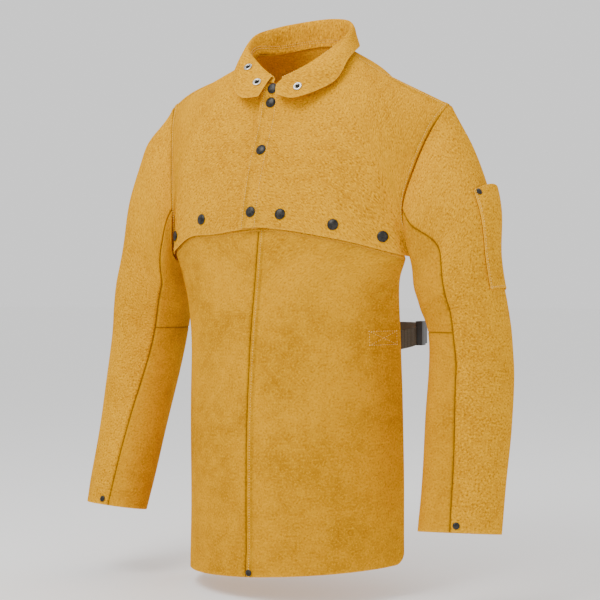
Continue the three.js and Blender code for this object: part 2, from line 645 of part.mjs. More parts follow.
// Collar snaps: bright press-stud faces on the leaves of the turned-down collar.
const collarSnaps = [
  ["collar_snap_1", 0.137, 0.24], ["collar_snap_2", 0.046, 0.44], ["collar_snap_3", 0.928, 0.7],
].map(([name, u, v]) => ({ name, p: fall(u, v), n: normalOf(fall, u, v) }));
const ringProfile = [
  [0, -LEATHER - 0.9], [3.6, -LEATHER - 0.9], [3.6, -LEATHER - 0.3], [1.8, -LEATHER - 0.3], [1.8, 0.3],
  [6.0, 0.3], [6.2, 1.0], [5.4, 1.6], [3.4, 1.6], [3.2, 0.8], [0, 0.8],
];
for (const s of collarSnaps) collarFall = pierce(collarFall, s.p, s.n, 2.1, 0, 6.6);

// ---------- assembly ----------

addSolid("cape_front_left", capeLeft, LEATHER_MAT());
addSolid("cape_front_right", capeRight, LEATHER_MAT());
addSolid("cape_back", cape.back, LEATHER_MAT());
addSolid("collar_stand", collarStand, LEATHER_MAT());
addSolid("collar_fall", collarFall, LEATHER_MAT());
for (const [name, s] of Object.entries(sleeves)) addSolid(name, s, LEATHER_MAT());
addSolid("sleeve_pocket", pocket, LEATHER_MAT());
addSolid("bib_band", band, LEATHER_MAT());
addSolid("bib_panel_right", bib.right, LEATHER_MAT());
addSolid("bib_panel_left", bib.left, LEATHER_MAT());
for (const s of snaps) {
  add(`${s.name}_cap`, turned(capProfile, s.p, s.n), CAP_MAT());
  add(`${s.name}_socket`, turned(socketProfile, s.p, s.n), STEEL_MAT());
  add(`${s.name}_stud`, turned(studProfile, s.p, s.n), STEEL_MAT());
}
for (const r of rivets) add(r.name, turned(rivetProfile(r.depth), r.p, r.n), CAP_MAT());
for (const s of collarSnaps) add(s.name, turned(ringProfile, s.p, s.n), STEEL_MAT());

// Waist strap: short left end with the buckle's socket half, long right end with its plug half.
const buckleC = (() => {
  const [x, y] = strapAt(BUCKLE_PHI);
  return new THREE.Vector3(x, y, strapZ(BUCKLE_PHI));
})();
const bt = tangentAt(BUCKLE_PHI);
const UP = new THREE.Vector3(0, 0, 1);
add("waist_strap_left", ribbon(strapCurve("left", [86, LEFT_END]), STRAP_WIDTH, STRAP_THICK, 16, 1), WEB_MAT());
const longPhis = range(17).map((i) => 84 + ((RIGHT_END - 84) * i) / 16);
add("waist_strap_right", ribbon(strapCurve("right", longPhis), STRAP_WIDTH, STRAP_THICK, 48, -1), WEB_MAT());
const buckleBox = (x, y, z, size) =>
  solid(orientedBox(buckleC.clone().addScaledVector(bt, x).addScaledVector(UP, y).addScaledVector(
    bt.clone().cross(UP), z), bt, UP, size));
// The socket half is open at the end where the plug goes in and has a window at each side, where the
// plug's springy side arms are pressed. The plug half has a tongue and the two arms.
const socket = buckleBox(-9, 0, 0, [27, 33, 9])
  .subtract(buckleBox(-5, 0, 0, [24, 27, 5.4]))
  .subtract(buckleBox(-8, 0, 0, [12, 40, 4.6]));
const plug = buckleBox(14.8, 0, 0, [20, 30, 6])
  .add(buckleBox(-1.5, 0, 0, [14, 9, 3.6]))
  .add(buckleBox(-2.5, 10, 0, [16, 3.4, 3.6]))
  .add(buckleBox(-2.5, -10, 0, [16, 3.4, 3.6]));
addSolid("buckle_socket", socket, PLASTIC_MAT());
addSolid("buckle_plug", plug, PLASTIC_MAT());

export default group;
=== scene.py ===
# %% [markdown]
# # A welder's cape sleeve with a bib
# The garment is cut from split cowhide: a short cape with two full sleeves, a collar, a bib that hangs
# from snaps under the cape's hem, and a waist strap. Sheets like these could be draped by simulation,
# but thick split leather keeps the curves it was sewn to. So each panel here is a smooth surface through
# a few control points, given thickness, turned edges and folds by rules that can be read.

import bmesh
import bpy
import numpy as np
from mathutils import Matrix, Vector


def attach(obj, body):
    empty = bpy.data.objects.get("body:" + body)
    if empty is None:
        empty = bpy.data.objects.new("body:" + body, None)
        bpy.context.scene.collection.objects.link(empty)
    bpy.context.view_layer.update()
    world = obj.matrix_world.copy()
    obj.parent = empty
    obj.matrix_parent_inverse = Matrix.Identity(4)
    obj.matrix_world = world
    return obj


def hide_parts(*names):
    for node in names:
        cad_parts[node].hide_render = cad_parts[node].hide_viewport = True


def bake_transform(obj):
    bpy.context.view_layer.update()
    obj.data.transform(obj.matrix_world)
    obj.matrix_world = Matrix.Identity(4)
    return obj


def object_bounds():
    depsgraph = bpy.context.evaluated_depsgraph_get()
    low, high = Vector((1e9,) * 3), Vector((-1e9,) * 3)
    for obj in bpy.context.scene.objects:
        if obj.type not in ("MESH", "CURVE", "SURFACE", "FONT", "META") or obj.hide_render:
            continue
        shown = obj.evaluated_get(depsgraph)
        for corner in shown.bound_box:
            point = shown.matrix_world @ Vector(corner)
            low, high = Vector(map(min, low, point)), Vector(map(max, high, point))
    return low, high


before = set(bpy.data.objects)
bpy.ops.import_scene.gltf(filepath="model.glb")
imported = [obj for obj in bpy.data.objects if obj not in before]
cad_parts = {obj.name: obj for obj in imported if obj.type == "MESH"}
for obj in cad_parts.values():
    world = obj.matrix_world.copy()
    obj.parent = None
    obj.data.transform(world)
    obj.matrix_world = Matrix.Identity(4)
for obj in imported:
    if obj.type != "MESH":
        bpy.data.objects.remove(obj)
cad_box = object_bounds()
MM = 0.001
print("the frame has", len(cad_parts), "nodes")

# %% [markdown]
# ## Camera, floor and light
# A large pale floor under a white sky gives the soft, even light of a product studio. One big lamp from
# above the camera's left models the folds, and a weaker one lifts the other side.

# %% Camera
camera_data = bpy.data.cameras.new("camera")
camera_data.lens, camera_data.sensor_width = 84.51, 36
camera = bpy.data.objects.new("camera", camera_data)
camera.location = (0.9898, -1.7379, -0.348)
camera.rotation_euler = np.radians((90, 0, 30))
bpy.context.collection.objects.link(camera)
bpy.context.scene.camera = camera


def linear(code):
    """A colour given as sRGB hex, as the linear RGBA that shaders take."""
    s = [int(code[i : i + 2], 16) / 255 for i in (1, 3, 5)]
    return [*((c / 12.92 if c <= 0.04045 else ((c + 0.055) / 1.055) ** 2.4) for c in s), 1.0]


def lamp(name, place, aim, size, watts):
    """A square area lamp at place, turned towards aim."""
    data = bpy.data.lights.new(name, "AREA")
    data.size, data.energy = size, watts
    lit = bpy.data.objects.new(name, data)
    lit.location = place
    lit.rotation_euler = (Vector(aim) - Vector(place)).to_track_quat("-Z", "Y").to_euler()
    bpy.context.collection.objects.link(lit)


MIDDLE = (0, 0, -0.3)
lamp("key", (-0.3, -1.0, 0.85), (0, -0.1, -0.15), 0.8, 15)
lamp("fill", (2.1, -0.9, 0.2), MIDDLE, 1.4, 4)
lamp("top", (0.3, 0.5, 1.9), MIDDLE, 1.2, 11)
world = bpy.data.worlds.new("studio")
bpy.context.scene.world = world
world.use_nodes = True
world.node_tree.nodes["Background"].inputs["Color"].default_value = (1, 1, 1, 1)
world.node_tree.nodes["Background"].inputs["Strength"].default_value = 1.05
print("camera and three lamps are in place")

# %% [markdown]
# ## Adding a node to a tree
# Every shader and every Geometry Nodes tree below is built from this one helper: it adds a node, sets
# its properties, and fills each input with a value or a link.


# %% One helper for all nodes
def node(tree, kind, inputs=None, **settings):
    """Adds a node of that kind. inputs maps a socket's name or number to a value or another socket."""
    made = tree.nodes.new(kind)
    for key, value in settings.items():
        setattr(made, key, value)
    for key, value in (inputs or {}).items():
        socket = made.inputs[key]
        if isinstance(value, bpy.types.NodeSocket):
            tree.links.new(value, socket)
        else:
            socket.default_value = value
    return made


def blank_material(name):
    """A new material and its shader tree, with the Principled shader already there."""
    material = bpy.data.materials.new(name)
    material.use_nodes = True
    return material, material.node_tree, material.node_tree.nodes["Principled BSDF"]


# %% Floor
floor_material, tree, shader = blank_material("studio_floor_painted")
shader.inputs["Base Color"].default_value = (0.97, 0.97, 0.965, 1)
shader.inputs["Roughness"].default_value = 0.9
FLOOR_Z = cad_box[0][2] - 0.02
floor_mesh = bpy.data.meshes.new("floor")
FAR = 60
floor_mesh.from_pydata(
    [(x, y, FLOOR_Z) for x, y in ((-FAR, -FAR), (FAR, -FAR), (FAR, FAR), (-FAR, FAR))], [], [(0, 1, 2, 3)]
)
floor_mesh.materials.append(floor_material)
floor = bpy.data.objects.new("floor", floor_mesh)
bpy.context.collection.objects.link(floor)
print("floor at", round(FLOOR_Z, 3))

# %% [markdown]
# ## Smooth surfaces from a few points
# A dressmaker would pin a net of points on a form. Here a cubic spline runs through each row of such
# points, first along every ray and then across the rays, so a panel is a function of two numbers, u
# and v. The slope at a point is the mean of the slopes beside it; at a corner each side keeps its own.


# %% Spline weights and nets
def smooth(x, low, high):
    """0 below low, 1 above high, and a soft step between them."""
    t = np.clip((np.asarray(x, float) - low) / (high - low), 0, 1)
    return t * t * (3 - 2 * t)


def weights(knots, x, corner=None, sharp=0.0):
    """How much each row of points counts at x: one line of weights for every x."""
    k = np.asarray(knots, float)
    x = np.asarray(x, float)
    n = len(k)
    j = np.clip(np.searchsorted(k, x, side="left") - 1, 0, n - 2)
    h = k[j + 1] - k[j]
    t = (x - k[j]) / h
    step = np.zeros((n - 1, n))
    i = np.arange(n - 1)
    step[i, i] = -1 / (k[1:] - k[:-1])
    step[i, i + 1] = -step[i, i]
    mean = np.vstack([step[:1], (step[:-1] + step[1:]) / 2, step[-1:]])
    leaving, arriving = mean[j], mean[j + 1]
    if corner is not None:
        s = np.broadcast_to(sharp, x.shape)[:, None]
        leaving = np.where((j == corner)[:, None], leaving + (step[corner] - mean[corner]) * s, leaving)
        before = arriving + (step[corner - 1] - mean[corner]) * s
        arriving = np.where((j + 1 == corner)[:, None], before, arriving)
    t2, t3 = t * t, t**3
    w = leaving * (h * (t3 - 2 * t2 + t))[:, None] + arriving * (h * (t3 - t2))[:, None]
    row = np.arange(len(x))
    w[row, j] += 2 * t3 - 3 * t2 + 1
    w[row, j + 1] += 3 * t2 - 2 * t3
    return w


MIRROR = np.array([-1.0, 1, 1])


def pair(a, b):
    """Both arrays flat and equally long, and the shape to give back."""
    a, b = np.broadcast_arrays(np.asarray(a, float), np.asarray(b, float))
    return a.ravel(), b.ravel(), a.shape + (3,)


def net(rays, corner=None):
    """The surface through rays of points. With a corner it is half of a symmetrical panel."""
    points = np.array(rays, float)
    last, steps = len(points) - 1, points.shape[1] - 1

    def surface(u, v):
        u, v, shape = pair(u, v)
        at = np.einsum("nm,rmc->nrc", weights(range(steps + 1), v * steps), points)
        if corner is None:
            w = weights(range(last + 1), u * last)
        else:
            at = np.concatenate([at[:, 1:2] * MIRROR, at], axis=1)
            w = weights(range(-1, last + 1), u * last, corner + 1, np.clip(v, 0, 1) ** 6)
        return np.einsum("nr,nrc->nc", w, at).reshape(shape)

    return surface


def normal(f, u, v, e=1e-3):
    """The unit normal of surface f, from small differences."""
    n = np.cross(f(u + e, v) - f(u - e, v), f(u, v + e) - f(u, v - e))
    return n / np.linalg.norm(n, axis=-1, keepdims=True)


print("a net's weights add up to", weights(range(5), np.array([0.3])).sum())

# %% [markdown]
# ## The cape's own surfaces
# Rays run from the neck seam to the hem or the armhole, in millimetres, with the wearer facing -Y. The
# eighth ray is the shoulder, where front and back meet. The control points are for the wearer's left
# half. The right half is its mirror image, then leaned: that shoulder hangs higher and wider.

# %% Front and back of the cape
FRONT_RAYS = [
    [[0, -70, -50], [0, -84, -105], [0, -106, -155], [0, -123, -205], [0, -133, -252]],
    [[22, -68, -45], [52, -84, -99], [80, -99, -150], [97, -108, -206], [107, -113, -268]],
    [[41, -60, -34], [84, -78, -87], [125, -88, -142], [153, -87, -208], [172, -81, -286]],
    [[52, -49, -24], [98, -71, -77], [138, -80, -138], [168, -76, -210], [190, -60, -291]],
    [[60, -36, -14], [101, -60, -60], [137, -72, -109], [165, -75, -165], [182, -71, -230]],
    [[66, -22, -5], [108, -45, -46], [143, -56, -87], [171, -58, -130], [191, -53, -172]],
    [[69, -10, 2], [111, -23, -30], [148, -31, -62], [180, -31, -92], [205, -27, -118]],
    [[70, 2, 6], [112, 2, -25], [150, 1, -47], [187, 0, -67], [219, 0, -85]],
]
BACK_RAYS = [
    [[0, 62, 24], [0, 90, -28], [0, 105, -98], [0, 112, -176], [0, 115, -258]],
    [[24, 59, 22], [55, 85, -28], [82, 98, -98], [98, 103, -180], [107, 103, -272]],
    [[41, 51, 18], [88, 73, -30], [128, 81, -98], [154, 80, -180], [172, 75, -287]],
    [[53, 40, 14], [104, 62, -27], [144, 68, -90], [173, 62, -180], [191, 50, -291]],
    [[61, 29, 11], [107, 50, -23], [144, 59, -74], [171, 59, -140], [187, 54, -215]],
    [[66, 18, 9], [110, 34, -25], [147, 43, -63], [177, 46, -105], [197, 42, -155]],
    [[69, 9, 7], [112, 17, -26], [149, 22, -55], [183, 24, -84], [210, 22, -112]],
    [[70, 2, 6], [112, 2, -25], [150, 1, -47], [187, 0, -67], [219, 0, -85]],
]
LEATHER = 1.5  # thickness of the split leather
STACK = 3.4  # what two snapped layers keep between them
RISE = LEATHER + STACK
OVERLAP = 30  # how far the left front laps over the right one
CORNER = 3  # the ray that ends in the hem's side corner
NECK_SHIFT = -12


def lean(p):
    """Raises and widens the wearer's right side."""
    p = np.array(p, float)
    x, z = p[..., 0].copy(), p[..., 2].copy()
    right = x < 0
    tip = smooth(-x, 85, 200)
    high = smooth(z, -290, -90)
    arch = np.exp(-(((x + 135) / 38) ** 2)) * (1 - high)
    body = 1 - smooth(-z, 330, 420)
    p[..., 0] -= np.where(right, 12 * tip * high, 0)
    p[..., 2] += np.where(right, 8 * smooth(-x, 0, 160) * body + 20 * tip * high + 7 * arch * body, 0)
    return p


def settled(half):
    """Both halves of a cape panel from its half net, with the neck shifted to the wearer's right."""

    def surface(u, v):
        u, v = np.broadcast_arrays(np.asarray(u, float), np.asarray(v, float))
        p = lean(half(abs(u), v) * np.where(u[..., None] < 0, MIRROR, 1))
        p[..., 0] += NECK_SHIFT * np.maximum(0, 1 - v)
        return p

    return surface


front = settled(net(FRONT_RAYS, CORNER))
back = settled(net(BACK_RAYS, CORNER))


def u_at_x(f, x, v):
    """Where surface f reaches x at height v, found by halving."""
    v = np.asarray(v, float)
    low, high = np.full(v.shape, -0.6), np.full(v.shape, 0.6)
    for _ in range(30):
        mid = (low + high) / 2
        less = f(mid, v)[..., 0] < x
        low, high = np.where(less, mid, low), np.where(less, high, mid)
    return low


print("shoulder to shoulder:", round(float(front(1, 1)[0] - front(-1, 1)[0])), "mm")

# %% [markdown]
# The collar is two strips. The stand rises from the neck seam to the fold, and the leaf turns down from
# the fold. Both run from the wearer's right front end, round the back, to the left one.

# %% Collar
STAND_RAYS = [
    [[-13, -71, -46], [-14, -71, -40]],
    [[-34, -66, -41], [-33, -62, -28]],
    [[-54, -57, -29], [-52, -53, -13]],
    [[-74, -32, -6], [-74, -38, 7]],
    [[-82, 0, 12], [-87, 2, 33]],
    [[-71, 34, 18], [-72, 38, 50]],
    [[-50, 55, 24], [-47, 59, 58]],
    [[-12, 64, 27], [-12, 67, 61]],
    [[26, 55, 22], [19, 60, 57]],
    [[46, 34, 15], [46, 36, 46]],
    [[57, 2, 10], [62, 6, 28]],
    [[53, -26, -4], [57, -25, 4]],
    [[39, -50, -22], [45, -52, -17]],
    [[21, -64, -37], [26, -68, -33]],
    [[0, -71, -47], [3, -78, -44]],
]
LEAF_RAYS = [
    [[-17, -74, -40], [-22, -83, -53], [-27, -92, -68]],
    [[-35, -67, -28], [-44, -82, -46], [-52, -95, -68]],
    [[-55, -58, -12], [-67, -72, -31], [-75, -80, -51]],
    [[-78, -41, 8], [-87, -47, -7], [-92, -51, -22]],
    [[-91, 1, 35], [-97, 2, 22], [-101, 5, 5]],
    [[-76, 40, 51], [-82, 44, 34], [-88, 50, 15]],
    [[-50, 63, 59], [-54, 69, 40], [-58, 76, 18]],
    [[-12, 71, 62], [-12, 76, 42], [-12, 81, 20]],
    [[21, 64, 58], [26, 69, 38], [30, 74, 18]],
    [[50, 39, 47], [54, 43, 31], [57, 47, 14]],
    [[66.5, 6, 29.5], [71, 8, 18], [77, 8, 5]],
    [[62.5, -26, 5], [74, -33, -5], [85, -38, -18]],
    [[49, -55, -16], [63, -68, -31], [79, -70, -53]],
    [[29, -71, -32], [33, -85, -50], [36, -97, -74]],
    [[5, -81, -44], [-1, -87, -53], [0, -92, -67]],
]
print("the collar has", len(LEAF_RAYS), "rays")

# %% [markdown]
# A sleeve is a tube through seven rings of ten points. theta counts points round the arm: 0 outside, 3
# in front, 5 inside, 7 behind. t counts rings: 0 is the armhole, 4 the elbow and 6 the cuff. The first
# three rings are listed point by point, because there the tube turns from the armhole's plane down the arm.

# %% Sleeves
DEGREE = np.pi / 180
ANGLES = np.array([0, 30, 60, 90, 135, 180, 225, 270, 300, 330.0]) * DEGREE
ARMHOLE = [
    (219, 0, -85), (205, -27, -118), (191, -53, -172), (182, -71, -230), (190, -60, -291),
    (198, 0, -299), (191, 50, -291), (187, 54, -215), (197, 42, -155), (210, 22, -112),
]
UNDER_IT = [
    (250, 4, -146), (244, -38, -160), (222, -70, -198), (199, -83, -250), (193, -63, -303),
    (196, -6, -314), (193, 46, -303), (203, 57, -238), (223, 50, -188), (241, 29, -158),
]
UPPER_ARM = [
    (290, -26, -230), (284, -56, -236), (264, -76, -254), (238, -83, -280), (199, -69, -327),
    (192, -19, -338), (199, 31, -329), (227, 45, -288), (262, 28, -256), (283, 3, -237),
]
ELBOW = np.array([258, -23, -390.0])
FOREARM = np.array([0.05, -0.25, -0.967]) * 250


def ring(centre, wide, narrow, turn=0, tilt_x=0.0, tilt_y=0.0):
    """Ten points of a tilted oval round centre."""
    b = ANGLES + (turn + 30) * DEGREE
    c, s = np.cos(30 * DEGREE), np.sin(30 * DEGREE)
    dx = wide * np.cos(b) * c + narrow * np.sin(b) * s
    dy = wide * np.cos(b) * s - narrow * np.sin(b) * c
    return np.stack([centre[0] + dx, centre[1] + dy, centre[2] + tilt_x * dx + tilt_y * dy], -1)


RINGS = np.array([
    ARMHOLE, UNDER_IT, UPPER_ARM,
    ring((247, -28, -338), 54, 57, 0, 0.4),
    ring(ELBOW, 56, 57),
    ring(ELBOW + FOREARM * 0.48 + (2, 5, 0), 56, 48, -6, 0.052, -0.2),
    ring(ELBOW + FOREARM * 1.05, 53.5, 41, -12, 0.052, -0.17),
], float)
ALONG_ARM = np.array([0, 60, 135, 200, 252, 372, 507.0])  # length down the arm to each ring


def arm_length(t):
    """Length down the arm at t, in millimetres."""
    return np.interp(t, range(7), ALONG_ARM) + np.minimum(0, t) * 60


def left_sleeve(theta, t):
    theta, t, shape = pair(theta, t)
    i = np.clip(np.floor(t).astype(int), 0, 5)
    x = np.where(t <= 0, t * 60, ALONG_ARM[i] + (t - i) * (ALONG_ARM[i + 1] - ALONG_ARM[i]))
    at = np.einsum("nr,rkc->nkc", weights(ALONG_ARM, x), RINGS)
    around = np.arange(-4, 15)
    return np.einsum("nk,nkc->nc", weights(around, theta), at[:, around % 10]).reshape(shape)


def right_sleeve(theta, t):
    theta, t = np.broadcast_arrays(np.asarray(theta, float), np.asarray(t, float))
    p = lean(left_sleeve(theta, t) * MIRROR)
    p[..., 2] -= 4 * smooth(-p[..., 2], 400, 640)
    full = np.exp(-(((p[..., 2] + 100) / 48) ** 2)) * smooth(t, 0, 0.8)
    slim = np.exp(-(((p[..., 2] + 240) / 60) ** 2)) * smooth(t, 0.4, 1.6)
    p[..., 0] += (9 * slim - 18 * full) * smooth(-p[..., 0], 200, 235)
    return p


SLEEVES = {"left": (left_sleeve, 1), "right": (right_sleeve, -1)}
FRONT_SEAM = {
    "left": lambda t: 3 + 0 * t,
    "right": lambda t: 3 + 0.95 * smooth(t, 0, 2.5) - 0.4 * smooth(t, 4, 6),
}
BACK_SEAM = {"left": 7.0, "right": 7.2}
print("sleeve from armhole to cuff:", ALONG_ARM[-1], "mm")

# %% [markdown]
# The bib's top edge follows the cape's hem, at the distance that the snaps keep. Below it the bib is a
# curved sheet through horizontal sections, rounder at the waist and flatter at the hem.

# %% Bib
BIB_U = 0.395  # half of the bib's top, as a share of the cape's front
BIB_START = -2.7  # the panels start this far below the cape's hem
BAND = 36
BIB_SLOPE = 0.07
BIB_KNOTS = [0, 76, 147, 224.13, 306.85, 458]


def behind(u, drop):
    """A point behind the cape, drop millimetres above its hem, at the snaps' distance."""
    v = 1 - drop / (np.linalg.norm(front(u, 1) - front(u, 0.8), axis=-1) / 0.2)
    return front(u, v) + normal(front, u, v) * RISE


def section(z, a, b, edge):
    """Five points on an oval from the middle of the front to the angle edge."""
    angle = edge * np.arange(5) * DEGREE / 4
    return np.stack([a * np.sin(angle), -b * np.cos(angle), np.full(5, z)], -1)


TOP_ROW = behind(BIB_U * np.arange(5) / 4, BIB_START)
BIB_ROWS = np.array([
    TOP_ROW, section(-332, 186, 142, 67), section(-403, 171, 152, 75),
    section(-480.13, 169, 159, 78), section(-562.85, 168, 162, 79), section(-714, 168, 163, 80),
])


def bib(u, v):
    u, v, shape = pair(u, v)
    side, reach = np.where(u < 0, -1, 1), np.arange(-1, 5)
    at = np.einsum("nr,rkc->nkc", weights(BIB_KNOTS, v * 458), BIB_ROWS)
    at = np.concatenate([at[:, 1:2] * MIRROR, at], 1)
    w = weights(reach, abs(u) * 4)
    p = np.einsum("nk,nkc->nc", w, at)
    top = w @ np.concatenate([TOP_ROW[1:2] * MIRROR, TOP_ROW])
    pull = (behind(u * BIB_U, BIB_START) - top * np.stack([side, side * side, side * side], -1))
    slope = BIB_SLOPE * side * p[:, 0] * np.clip(v, 0, 1.15)
    near = 1 - smooth(v * 458, 0, 92)
    p = p * np.stack([side, side * side, side * side], -1) + pull * near[:, None]
    p[:, 2] += slope
    return p.reshape(shape)


BIB_SEAM = -0.012
print("bib:", round(float(bib(1, 0.6)[0] - bib(-1, 0.6)[0])), "mm wide at its middle")

# %% [markdown]
# ## A sheet of leather with worked edges
# A panel could be one plane with a Solidify modifier, but its edges are what make leather goods real. A
# cut edge is a little rounded. A sewn edge rolls inwards, so two of them meet in a groove, whose colour
# is darkened as painted shade. A turned edge is folded under and topstitched, so it stands thicker. So
# the thickness is built here: an outer and an inner grid of points, joined round the rim, with the points
# closer together at the edges.


# %% Where the rows of a panel go
def graded(count, length, lines=(), ends=(True, True)):
    """Numbers from 0 to 1 that are dense at the ends and beside the given lines. length is in mm."""
    places = [*np.linspace(0, 1, count + 1)]
    for mm in (0.35, 0.9, 1.8, 3.2, 5, 7, 9):
        if ends[0]:
            places.append(mm / length)
        if ends[1]:
            places.append(1 - mm / length)
    for line in lines:
        places += [line + mm / length for mm in (-2.6, -1.3, -0.6, 0, 0.6, 1.3, 2.6)]
    places = np.unique(np.clip(places, 0, 1))
    keep = [0.0]
    for p in places[1:]:
        if (p - keep[-1]) * length > 0.25:
            keep.append(p)
    keep[-1] = 1.0
    return np.array(keep)


def lengths(points, axis):
    """Length in mm along the grid from its first line, on every line of that axis."""
    step = np.linalg.norm(np.diff(points, axis=axis), axis=-1)
    first = np.zeros_like(np.take(step, [0], axis))
    return np.concatenate([first, np.cumsum(step, axis)], axis)


def edge_shape(kind, d):
    """(raise of both faces, loss of thickness at each face, painted shade in the hollow) at d mm from an edge of that
    kind.
    """
    rounding = 0.5 * (1 - np.sqrt(1 - np.clip(1 - d / 0.9, 0, 1) ** 2))
    if kind == "cut":
        return 0 * d, rounding, 0 * d
    if kind == "sewn":
        rolled = -1.25 * np.exp(-((d / 1.5) ** 2)) + 0.35 * np.exp(-(((d - 4.5) / 2.5) ** 2))
        return rolled, rounding, np.exp(-d / 1.1)
    if kind in ("turned", "topstitched"):
        step = 0.8 * (1 - smooth(d, 6.8, 8.8)) - 0.35 * np.exp(-(((d - 5.2) / 0.9) ** 2))
        painted_shade = 0.4 * np.exp(-(((d - 8.4) / 1.3) ** 2)) + 0.3 * np.exp(-(((d - 5.2) / 0.8) ** 2))
        if kind == "topstitched":
            step, painted_shade = step - 1.7 * np.exp(-((d / 1.4) ** 2)), np.maximum(painted_shade, np.exp(-d / 1.1))
        return step, rounding, painted_shade
    return 0 * d, 0 * d, 0 * d


# %% The panel maker
def panel(name, f, u_range, v_range, counts, edges, out, lift=None, u_lines=(), v_lines=(), cut_from=(None, 0)):
    """One closed sheet on surface f. edges are the kinds at u's start and end, then at v's start and end.

    cut_from places the panel's own coordinates, so that two lengths of one hide continue each other.
    """
    span = [lambda v, r=r: r(v) if callable(r) else np.full_like(v, r) for r in u_range]
    mid_v = np.array([np.mean(v_range)])
    across = lengths(f(np.linspace(span[0](mid_v), span[1](mid_v), 60), mid_v), 0)[-1, 0]
    mid_u = (span[0](mid_v) + span[1](mid_v)) / 2
    down = lengths(f(mid_u, np.linspace(*v_range, 60)), 0)[-1]
    s = graded(counts[0], across, u_lines, [e != "open" for e in edges[:2]])[:, None]
    t = graded(counts[1], down, v_lines, [e != "open" for e in edges[2:]])
    v = np.broadcast_to(v_range[0] + (v_range[1] - v_range[0]) * t, (len(s), len(t)))
    u = span[0](v) + (span[1](v) - span[0](v)) * s
    p, n = f(u, v), normal(f, u, v) * out
    along_u, along_v = lengths(p, 0), lengths(p, 1)
    distance = [along_u, along_u[-1:] - along_u, along_v, along_v[:, -1:] - along_v]
    height, thin, painted_shade, pale = (np.zeros(p.shape[:2]) for _ in range(4))
    for kind, d in zip(edges, distance):
        kinds = [(kind, 1.0)]
        if kind == "hem_and_armhole":  # the cape's last row: a cut hem up to the corner, then the armhole
            share = smooth(abs(u), 0.421, 0.436)
            kinds = [("cut", 1 - share), ("topstitched", share)]
        for one, share in kinds:
            a, b, c = edge_shape(one, d)
            height, thin = height + a * share, np.maximum(thin, b * share)
            painted_shade = np.maximum(painted_shade, c * share)
            if one == "cut":
                pale = np.maximum(pale, np.exp(-d / 1.2) * share)
    seams = ((u_lines, along_u[-1:], s), (v_lines, along_v[:, -1:], t))
    for lines, total, size in seams:
        for line in lines:
            d = abs(size - line) * total
            height = height - 1.0 * np.exp(-((d / 1.1) ** 2))
            # painted shade: the seam line's colour is darkened
            painted_shade = np.maximum(painted_shade, np.exp(-d / 1.2))
    if lift is not None:
        extra = lift(u, v, p)
        extra = extra if isinstance(extra, tuple) else (extra, 0)
        height, painted_shade = height + extra[0], np.maximum(painted_shade, extra[1])
    thick = LEATHER
    outer = p + n * (height - thin)[..., None]
    inner = p + n * (height - thick + thin)[..., None]
    rows, columns = p.shape[:2]
    index = np.arange(rows * columns).reshape(rows, columns)
    quads = np.stack([index[:-1, :-1], index[1:, :-1], index[1:, 1:], index[:-1, 1:]], -1).reshape(-1, 4)
    border = np.concatenate([index[:, 0], index[-1, 1:], index[-2::-1, -1], index[0, -2:0:-1]])
    after, below = np.roll(border, -1), rows * columns
    rim = np.stack([border, border + below, after + below, after], -1)
    faces = np.concatenate([quads, quads[:, ::-1] + below, rim])
    mesh = bpy.data.meshes.new(name)
    mesh.from_pydata(np.concatenate([outer.reshape(-1, 3), inner.reshape(-1, 3)]) * MM, [], faces.tolist())
    fields = {
        # painted shade: seam and stitch hollows are darkened in colour, less on the inner face
        "painted_shade": np.concatenate([painted_shade.ravel(), 0.4 * painted_shade.ravel()]),
        "pale": np.concatenate([pale.ravel(), pale.ravel()]),
        # inside marks the inner face, painted paler: partly the flesh side's own tone, partly painted light
        "inside": np.repeat([0.0, 1.0], rows * columns),
    }
    for key, value in fields.items():
        mesh.attributes.new(key, "FLOAT", "POINT").data.foreach_set("value", value.astype(np.float32))
    origin = along_u[np.argmin(abs(s[:, 0] - (0.5 if cut_from[0] is None else cut_from[0])))][None]
    drop = np.broadcast_to(along_v.mean(0) + cut_from[1], along_u.shape)
    shift = PANEL_SHIFT.get(name, len(SIZES) % 5 * 0.37)
    flat_uv = np.stack([along_u - origin, drop], -1).reshape(-1, 2) * MM + shift
    flat_uv = np.concatenate([flat_uv, flat_uv])
    layer = mesh.uv_layers.new(name="cut")
    at = np.array([loop.vertex_index for loop in mesh.loops])
    layer.data.foreach_set("uv", flat_uv[at].astype(np.float32).ravel())
    work = bmesh.new()
    work.from_mesh(mesh)
    if work.calc_volume(signed=True) < 0:
        bmesh.ops.reverse_faces(work, faces=work.faces)
    work.faces.ensure_lookup_table()
    for face in work.faces:
        face.smooth = True
    for face in list(work.faces)[len(quads) * 2 :]:
        for edge in face.edges:
            edge.smooth = len({e for e in edge.link_faces if e.index >= len(quads) * 2}) == 2
    work.to_mesh(mesh)
    work.free()
    made = bpy.data.objects.new(name, mesh)
    bpy.context.collection.objects.link(made)
    patches = np.cross(p[1:, :-1] - p[:-1, :-1], p[:-1, 1:] - p[:-1, :-1])
    area = np.linalg.norm(patches, axis=-1).sum() * MM * MM
    size = (round(float(along_u[-1].max()) * MM, 3), round(float(along_v[:, -1].max()) * MM, 3))
    SIZES[name] = (size, round(float(area), 4))
    FACES[name] = (outer, n, along_u, along_v)
    print(name, len(mesh.polygons), "faces, cut", size, "m, area", SIZES[name][1])
    return made


SIZES, FACES, PANEL_SHIFT = {}, {}, {}

# %% [markdown]
# ## Where the leather lies still
# Snaps and rivets clamp the leather flat. Folds, which come next, die out round each of them.

# %% Snap and rivet places
HEM_SNAPS = [(-174, 22), (-108, 22), (29, 21), (101, 19), (161, 20)]  # x, height over the hem
FRONT_SNAPS = [0.036, 0.125, 0.455, 0.885]  # v on the lapping front
COLLAR_SNAPS = [(0.137, 0.24), (0.046, 0.44), (0.928, 0.7)]  # u and v on the leaf


